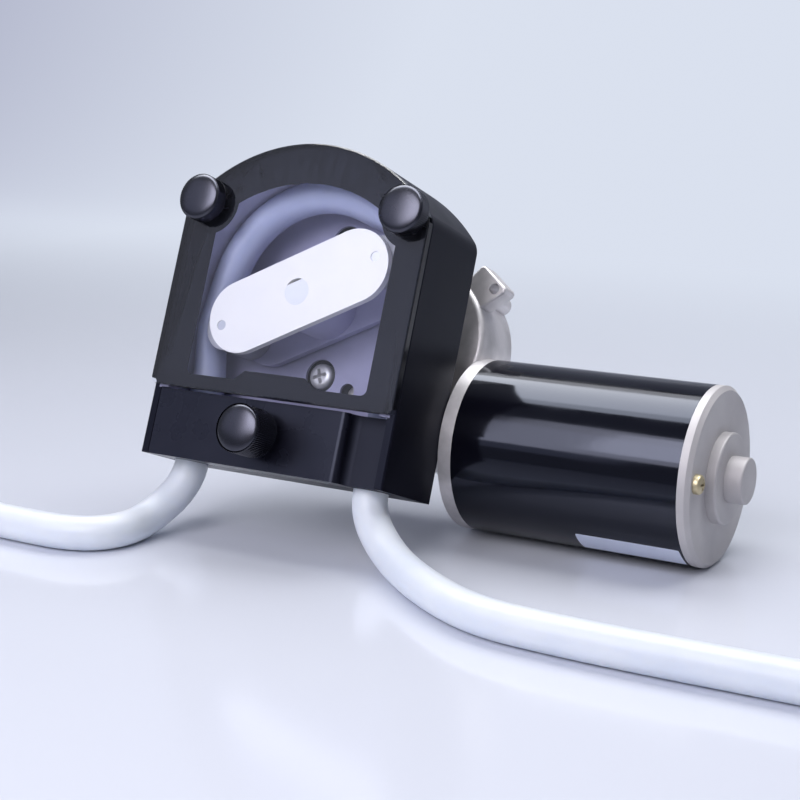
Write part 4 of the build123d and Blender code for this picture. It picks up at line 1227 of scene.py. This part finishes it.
@dataclass
class Studio:
    """Floor, backdrop, lamps and camera."""

    camera_from_origin: Point = (0.3251, -0.4729, 0.0885)
    look: Point = (-0.4970, 0.8395, -0.2205)
    lens: float = 72.0
    top_radiance: float = 3.0
    glint_radiance: float = 6.0
    front_share: float = 0.7
    front_radiance: float = 4.1
    card_radiance: float = 0.7
    card_distance: float = 0.9
    world_strength: float = 0.26
    floor_colour: Colour = (0.69, 0.715, 0.79)
    # painted light: the far backdrop's glow, darker on the left and lighter on the right
    far_left: Colour = (0.40, 0.42, 0.55)
    far_right: Colour = (0.70, 0.75, 0.86)
    far_across: tuple[float, float] = (-1.75, -0.75)
    far_start: float = 0.10
    far_end: float = 0.75

    def camera(self, space: PumpSpace) -> None:
        """Place the camera.

        Args:
            space: the pump frame.
        """
        data = bpy.data.cameras.new("camera")
        data.lens = self.lens
        data.sensor_width = 36.0
        data.clip_start = 0.01
        camera = bpy.data.objects.new("camera", data)
        forward = Vector(self.look).normalized()
        side = forward.cross(Vector((0.0, 0.0, 1.0))).normalized()
        over = side.cross(forward)
        turn = Matrix((side, over, -forward)).transposed().to_4x4()
        camera.matrix_world = Matrix.Translation(space.origin + Vector(self.camera_from_origin)) @ turn
        bpy.context.scene.collection.objects.link(camera)
        bpy.context.scene.camera = camera

    def cover_card(self, space: PumpSpace) -> Lamp:
        """Dim card that stands where the glossy cover mirrors it towards the camera.

        The direction is the camera's view of the cover turned back at the cover's face.

        Args:
            space: the pump frame.

        Returns:
            The card.
        """
        middle = space.point(0.0, -3.3, 0.0)
        eye = space.origin + Vector(self.camera_from_origin)
        seen = (middle - eye).normalized()
        facing = space.direction(0.0, -1.0, 0.0)
        away = (seen - 2 * seen.dot(facing) * facing).normalized()
        return Lamp("cover_card", tuple(middle + away * self.card_distance), tuple(middle), (0.75, 0.55),
                    self.card_radiance, (0.74, 0.77, 1.0))

    def backdrop(self) -> None:
        """Lay the floor and curve it up into a wall.

        A profile of floor, quarter circle and wall is carried sideways.
        """
        front, near, floor, bend, wall, width = -1.6, -0.6, 0.9, 0.5, 1.6, 3.0
        angle = np.linspace(0.0, math.pi / 2, 24)
        back = np.concatenate([[front], np.linspace(near, floor, 12), floor + bend * np.sin(angle[1:]),
                               [floor + bend]])
        height = np.concatenate([np.zeros(13), bend * (1 - np.cos(angle[1:])), [wall]])
        across = np.linspace(-width, width, 9)
        grid = np.stack(np.broadcast_arrays(across[:, None], back[None, :], height[None, :]), axis=2)
        shell = Shell()
        shell.add(grid, wrap_columns=False)
        sweep = shell.mesh("studio_floor")
        sweep.data.materials.append(self.floor_finish())

    def floor_finish(self) -> bpy.types.Material:
        """Pale satin floor that keeps shadows and mirrors softly; far behind, it glows for camera rays as a
        painted-light backdrop, darker to the left.

        Returns:
            The material.
        """
        paint = Paint("studio_floor")
        paint.set(Base_Color=self.floor_colour, Roughness=0.14, Specular_IOR_Level=0.45)
        split = paint.node("ShaderNodeSeparateXYZ")
        paint.link(paint.coordinates(), split.inputs["Vector"])
        across = paint.spread(split.outputs["X"], 0.0, 1.0, *self.far_across)
        far = paint.node("ShaderNodeMapRange", interpolation_type="SMOOTHSTEP")
        far.inputs["From Min"].default_value = self.far_start
        far.inputs["From Max"].default_value = self.far_end
        paint.link(split.outputs["Y"], far.inputs["Value"])
        # painted light: glow that only the camera sees on the far backdrop
        glow = paint.node("ShaderNodeEmission")
        paint.link(paint.blend(across, self.far_left, self.far_right), glow.inputs["Color"])
        path = paint.node("ShaderNodeLightPath")
        share = paint.combine("MULTIPLY", far.outputs["Result"], path.outputs["Is Camera Ray"])
        mix = paint.node("ShaderNodeMixShader")
        paint.link(share, mix.inputs[0])
        paint.link(paint.shader.outputs[0], mix.inputs[1])
        paint.link(glow.outputs[0], mix.inputs[2])
        paint.link(mix.outputs[0], paint.output.inputs["Surface"])
        return paint.material

    def world(self) -> None:
        """Even, slightly blue surroundings."""
        world = bpy.data.worlds.new("studio")
        world.use_nodes = True
        ground = world.node_tree.nodes["Background"]
        ground.inputs["Color"].default_value = (0.80, 0.86, 1.0, 1.0)
        ground.inputs["Strength"].default_value = self.world_strength
        bpy.context.scene.world = world

    def build(self, space: PumpSpace) -> None:
        """Make the whole studio.

        Args:
            space: the pump frame.
        """
        self.camera(space)
        self.backdrop()
        self.world()
        front_target = (0.03, 0.0, 0.06)
        lamps = [
            Lamp("top_softbox", (0.0, 0.30, 0.90), (0.03, 0.02, 0.03), (1.5, 0.66), self.top_radiance),
            Lamp("top_glint", (-0.25, 0.17, 0.92), (-0.25, 0.16, 0.0), (1.5, 0.66), self.glint_radiance,
                 (0.94, 0.97, 1.0), LampKind.CARD),
            Lamp("front_softbox", (-0.08, -0.75, 0.62), front_target, (0.74, 0.60), self.front_radiance,
                 (0.97, 0.94, 1.0)),
            Lamp("front_glint", (-0.06, -0.77, 0.66), front_target, (0.56, 0.46),
                 self.glint_radiance * self.front_share, (0.96, 0.94, 1.0), LampKind.CARD),
            self.cover_card(space),
        ]
        for lamp in lamps:
            lamp.build()
        bpy.context.scene.view_settings.view_transform = "Standard"
        log.info("studio is set")


# ---------------------------------------------------------------------------
# Dressing of the CAD nodes
# ---------------------------------------------------------------------------
@dataclass
class Dresser:
    """Gives each CAD node its finish."""

    finishes: dict[str, bpy.types.Material] = field(default_factory=dict)

    def prepare(self, space: PumpSpace) -> None:
        """Make every finish once.

        Args:
            space: the pump frame.
        """
        # Name, colour, its cloudier shade, metallic share, range of roughness, grain per metre, grain height.
        made = [
            # Rear arm and hub: the chamber's mauve grey made lighter to cancel the shade that the front arm
            # casts on them; painted light.
            MetalFinish("shade_lifted_grey", (0.60, 0.58, 0.80), (0.54, 0.52, 0.72), 0.0, (0.45, 0.55),
                        2600.0, 0.000006),
            MetalFinish("bright_plate", (0.93, 0.895, 0.855), (0.90, 0.87, 0.85), 0.1, (0.32, 0.42),
                        1500.0, 0.000006),
            MetalFinish("shaft_end", (0.78, 0.78, 0.79), (0.72, 0.72, 0.73), 0.2, (0.34, 0.44),
                        1500.0, 0.000006),
            MetalFinish("screw_steel", (0.70, 0.69, 0.70), (0.60, 0.59, 0.60), 0.45, (0.36, 0.46),
                        1500.0, 0.000006),
            MetalFinish("steel", (0.62, 0.62, 0.64), (0.54, 0.54, 0.57), 0.9, (0.22, 0.34), 2500.0, 0.000006),
            MetalFinish("turned_aluminium", (0.74, 0.74, 0.77), (0.66, 0.66, 0.70), 0.9, (0.28, 0.4),
                        2200.0, 0.000008),
            MetalFinish("casting", (0.78, 0.75, 0.76), (0.47, 0.455, 0.465), 0.5, (0.40, 0.52),
                        1300.0, 0.00003),
            MetalFinish("end_cap", (0.48, 0.46, 0.465), (0.43, 0.41, 0.42), 0.2, (0.52, 0.6),
                        1800.0, 0.000015),
            MetalFinish("bronze", (0.52, 0.33, 0.15), (0.42, 0.26, 0.12), 0.9, (0.3, 0.45)),
            MetalFinish("copper", (0.70, 0.36, 0.18), (0.58, 0.28, 0.13), 0.9, (0.25, 0.4)),
            MetalFinish("brass", (0.50, 0.43, 0.28), (0.42, 0.36, 0.23), 0.7, (0.36, 0.48)),
            MetalFinish("core_steel", (0.30, 0.30, 0.32), (0.22, 0.22, 0.24), 0.8, (0.4, 0.55)),
            MetalFinish("magnet", (0.09, 0.09, 0.10), (0.06, 0.06, 0.07), 0.2, (0.5, 0.65)),
            GlossPaint("motor_black", (0.003, 0.003, 0.006)),
            MouldedPlastic("knob_black", (0.002, 0.002, 0.004), (0.004, 0.004, 0.006), (0.23, 0.28), 2600.0,
                           specular=0.8, tint=(0.78, 0.80, 1.0)),
            MouldedPlastic("border_print", (0.004, 0.004, 0.006), (0.006, 0.006, 0.008), (0.5, 0.6),
                           specular=0.15, tint=(0.6, 0.66, 1.0)),
            MouldedPlastic("roller", (0.42, 0.42, 0.47), (0.38, 0.38, 0.43)),
            MouldedPlastic("moulding", (0.03, 0.03, 0.03), (0.05, 0.05, 0.05)),
            MouldedPlastic("carbon", (0.03, 0.03, 0.03), (0.04, 0.04, 0.04), (0.5, 0.6)),
            MouldedPlastic("label_paper", (0.62, 0.66, 0.78), (0.56, 0.60, 0.73), (0.35, 0.5), 900.0),
            MilkyHose("hose"),
            MilkyHose("shaded_hose", (0.50, 0.53, 0.72), (0.44, 0.47, 0.66)),
        ]
        self.finishes = {finish.name: finish.build() for finish in made}
        self.finishes["head"] = HeadFinish("head").build(space)
        self.finishes["clamp"] = ClampFinish("clamp").build(space)
        self.finishes["clear_cover"] = ClearSheet("clear_cover").build(space)

    def dress(self, finish: str, *nodes: str) -> None:
        """Put one finish on CAD nodes.

        Args:
            finish: the finish's name.
            nodes: the nodes.
        """
        for name in nodes:
            data = frame["nodes"][name].data
            data.materials.clear()
            data.materials.append(self.finishes[finish])
            log.info("%s has the finish %s", name, finish)

    def dress_all(self) -> None:
        """Dress every CAD node."""
        self.dress("head", "pump_body")
        self.dress("clamp", "hose_clamp")
        self.dress("steel", "cover_stud_left", "cover_stud_right", "clamp_stud", "rotor_set_screw",
                   "roller_pins", "output_bearings", "output_gear", "pinion", "gear_pin", "worm",
                   "motor_shaft")
        self.dress("bright_plate", "rotor_front_arm")
        self.dress("shaft_end", "output_shaft")
        # painted light: a lightened grey that cancels the shade lying on the rear arm and hub
        self.dress("shade_lifted_grey", "rotor_rear_arm", "rotor_hub")
        self.dress("turned_aluminium", "bearing_spacer")
        self.dress("bronze", "shaft_bush", "roller_bushes_left", "roller_bushes_right", "worm_wheel",
                   "motor_bearings")
        self.dress("copper", "armature_windings", "commutator")
        self.dress("casting", "gearbox_housing", "gearbox_cover")
        self.dress("end_cap", "motor_end_cap")
        self.dress("core_steel", "armature_core")
        self.dress("magnet", "magnets")
        self.dress("motor_black", "motor_can")
        self.dress("clear_cover", "front_cover")
        self.dress("border_print", "cover_film")
        self.dress("roller", "roller_left", "roller_right")
        self.dress("moulding", "brush_holder")
        self.dress("carbon", "brushes")


# Control points of the two hose ends on the ground, in row millimetres from where each leaves the head.
LEFT_ROUTE = ((-7.0, -17.5), (-6.6, -36.5), (-19.0, -46.5), (-44.0, -47.2), (-72.4, -46.3), (-95.4, -45.3))
RIGHT_ROUTE = ((15.0, -12.0), (41.0, -33.0), (66.0, -46.5), (94.0, -48.6), (124.0, -48.5), (157.4, -47.3),
               (190.4, -46.3))


def build_knobs(space: PumpSpace, finish: bpy.types.Material) -> None:
    """Make the cover's two thumb screws and the clamp's.

    Args:
        space: the pump frame.
        finish: the knobs' material.
    """
    for side, x in (("left", -43.5), ("right", 43.5)):
        ThumbScrew(f"{side}_cover_knob", f"cover_knob_{side}", f"knob_{side}", x, z=30.1, base=-3.3,
                   length=7.2, stud_radius=2.5).build(space, finish)
    ThumbScrew("hose_clamp_knob", "clamp_knob", "clamp_screw", x=0.0, z=-54.0, base=0.0, length=13.9,
               stud_radius=3.0, neck_radius=5.5, neck_length=4.0, radius=8.9, dome=2.0).build(space, finish)


def build_screws(space: PumpSpace, finishes: dict[str, bpy.types.Material]) -> None:
    """Make the screws in the chamber's floor, in the gearbox's cover and in the motor's end cap.

    Args:
        space: the pump frame.
        finishes: materials by name.
    """
    forward, back, right = (0.0, -1.0, 0.0), (0.0, 1.0, 0.0), (1.0, 0.0, 0.0)
    head_seats = round_seats((0.0, 0.0), 26.0, (0, 90, 180, 270), 32.5, forward)
    ScrewSet("head_screws", "join_screws", "steel", head_seats, head_radius=4.9, head_height=3.7,
             shank_radius=2.5, shank_length=12.0).build(space, finishes["screw_steel"])
    box_seats = round_seats((24.5, -5.0), 30.7, (44, 105), 75.5, back)
    box_seats += round_seats((0.0, 0.0), 25.2, (137, 223), 75.5, back)
    ScrewSet("gearbox_cover_screws", "gearbox_screws", "steel", box_seats, head_radius=2.75, head_height=1.8,
             shank_radius=1.5, shank_length=8.0, pitch=0.5, thread_depth=0.12).build(space, finishes["steel"])
    cap_face, circle = 147.8, 25.8
    turns = [math.radians(degrees) for degrees in (193.5, 13.5)]
    cap_seats = [((cap_face, MOTOR_Y + circle * math.cos(turn), MOTOR_Z + circle * math.sin(turn)), right)
                 for turn in turns]
    ScrewSet("motor_end_screws", "motor_bolts", "brass_screw", cap_seats, head_radius=3.4, head_height=2.6,
             shank_radius=2.0, shank_length=93.5, pitch=1.6, thread_depth=0.1).build(space, finishes["brass"])


def main() -> None:
    """Build the scene in order."""
    logging.basicConfig(level=logging.INFO, format="%(message)s")
    space = PumpSpace.from_joints(frame["joints"], HOSE_DEPTH)
    Studio().build(space)
    dresser = Dresser()
    dresser.prepare(space)
    dresser.dress_all()
    HoseInHead().build(space, dresser.finishes["shaded_hose"])
    for side, exit_x, route in (("left", -HOSE_BEND, LEFT_ROUTE), ("right", HOSE_BEND, RIGHT_ROUTE)):
        HoseEnd(f"{side}_hose_end", f"hose_tail_{side}", exit_x, route).build(space, dresser.finishes["hose"])
    build_knobs(space, dresser.finishes["knob_black"])
    build_screws(space, dresser.finishes)
    MotorLabel().build(space, dresser.finishes["label_paper"])


if __name__ == "__main__":
    main()
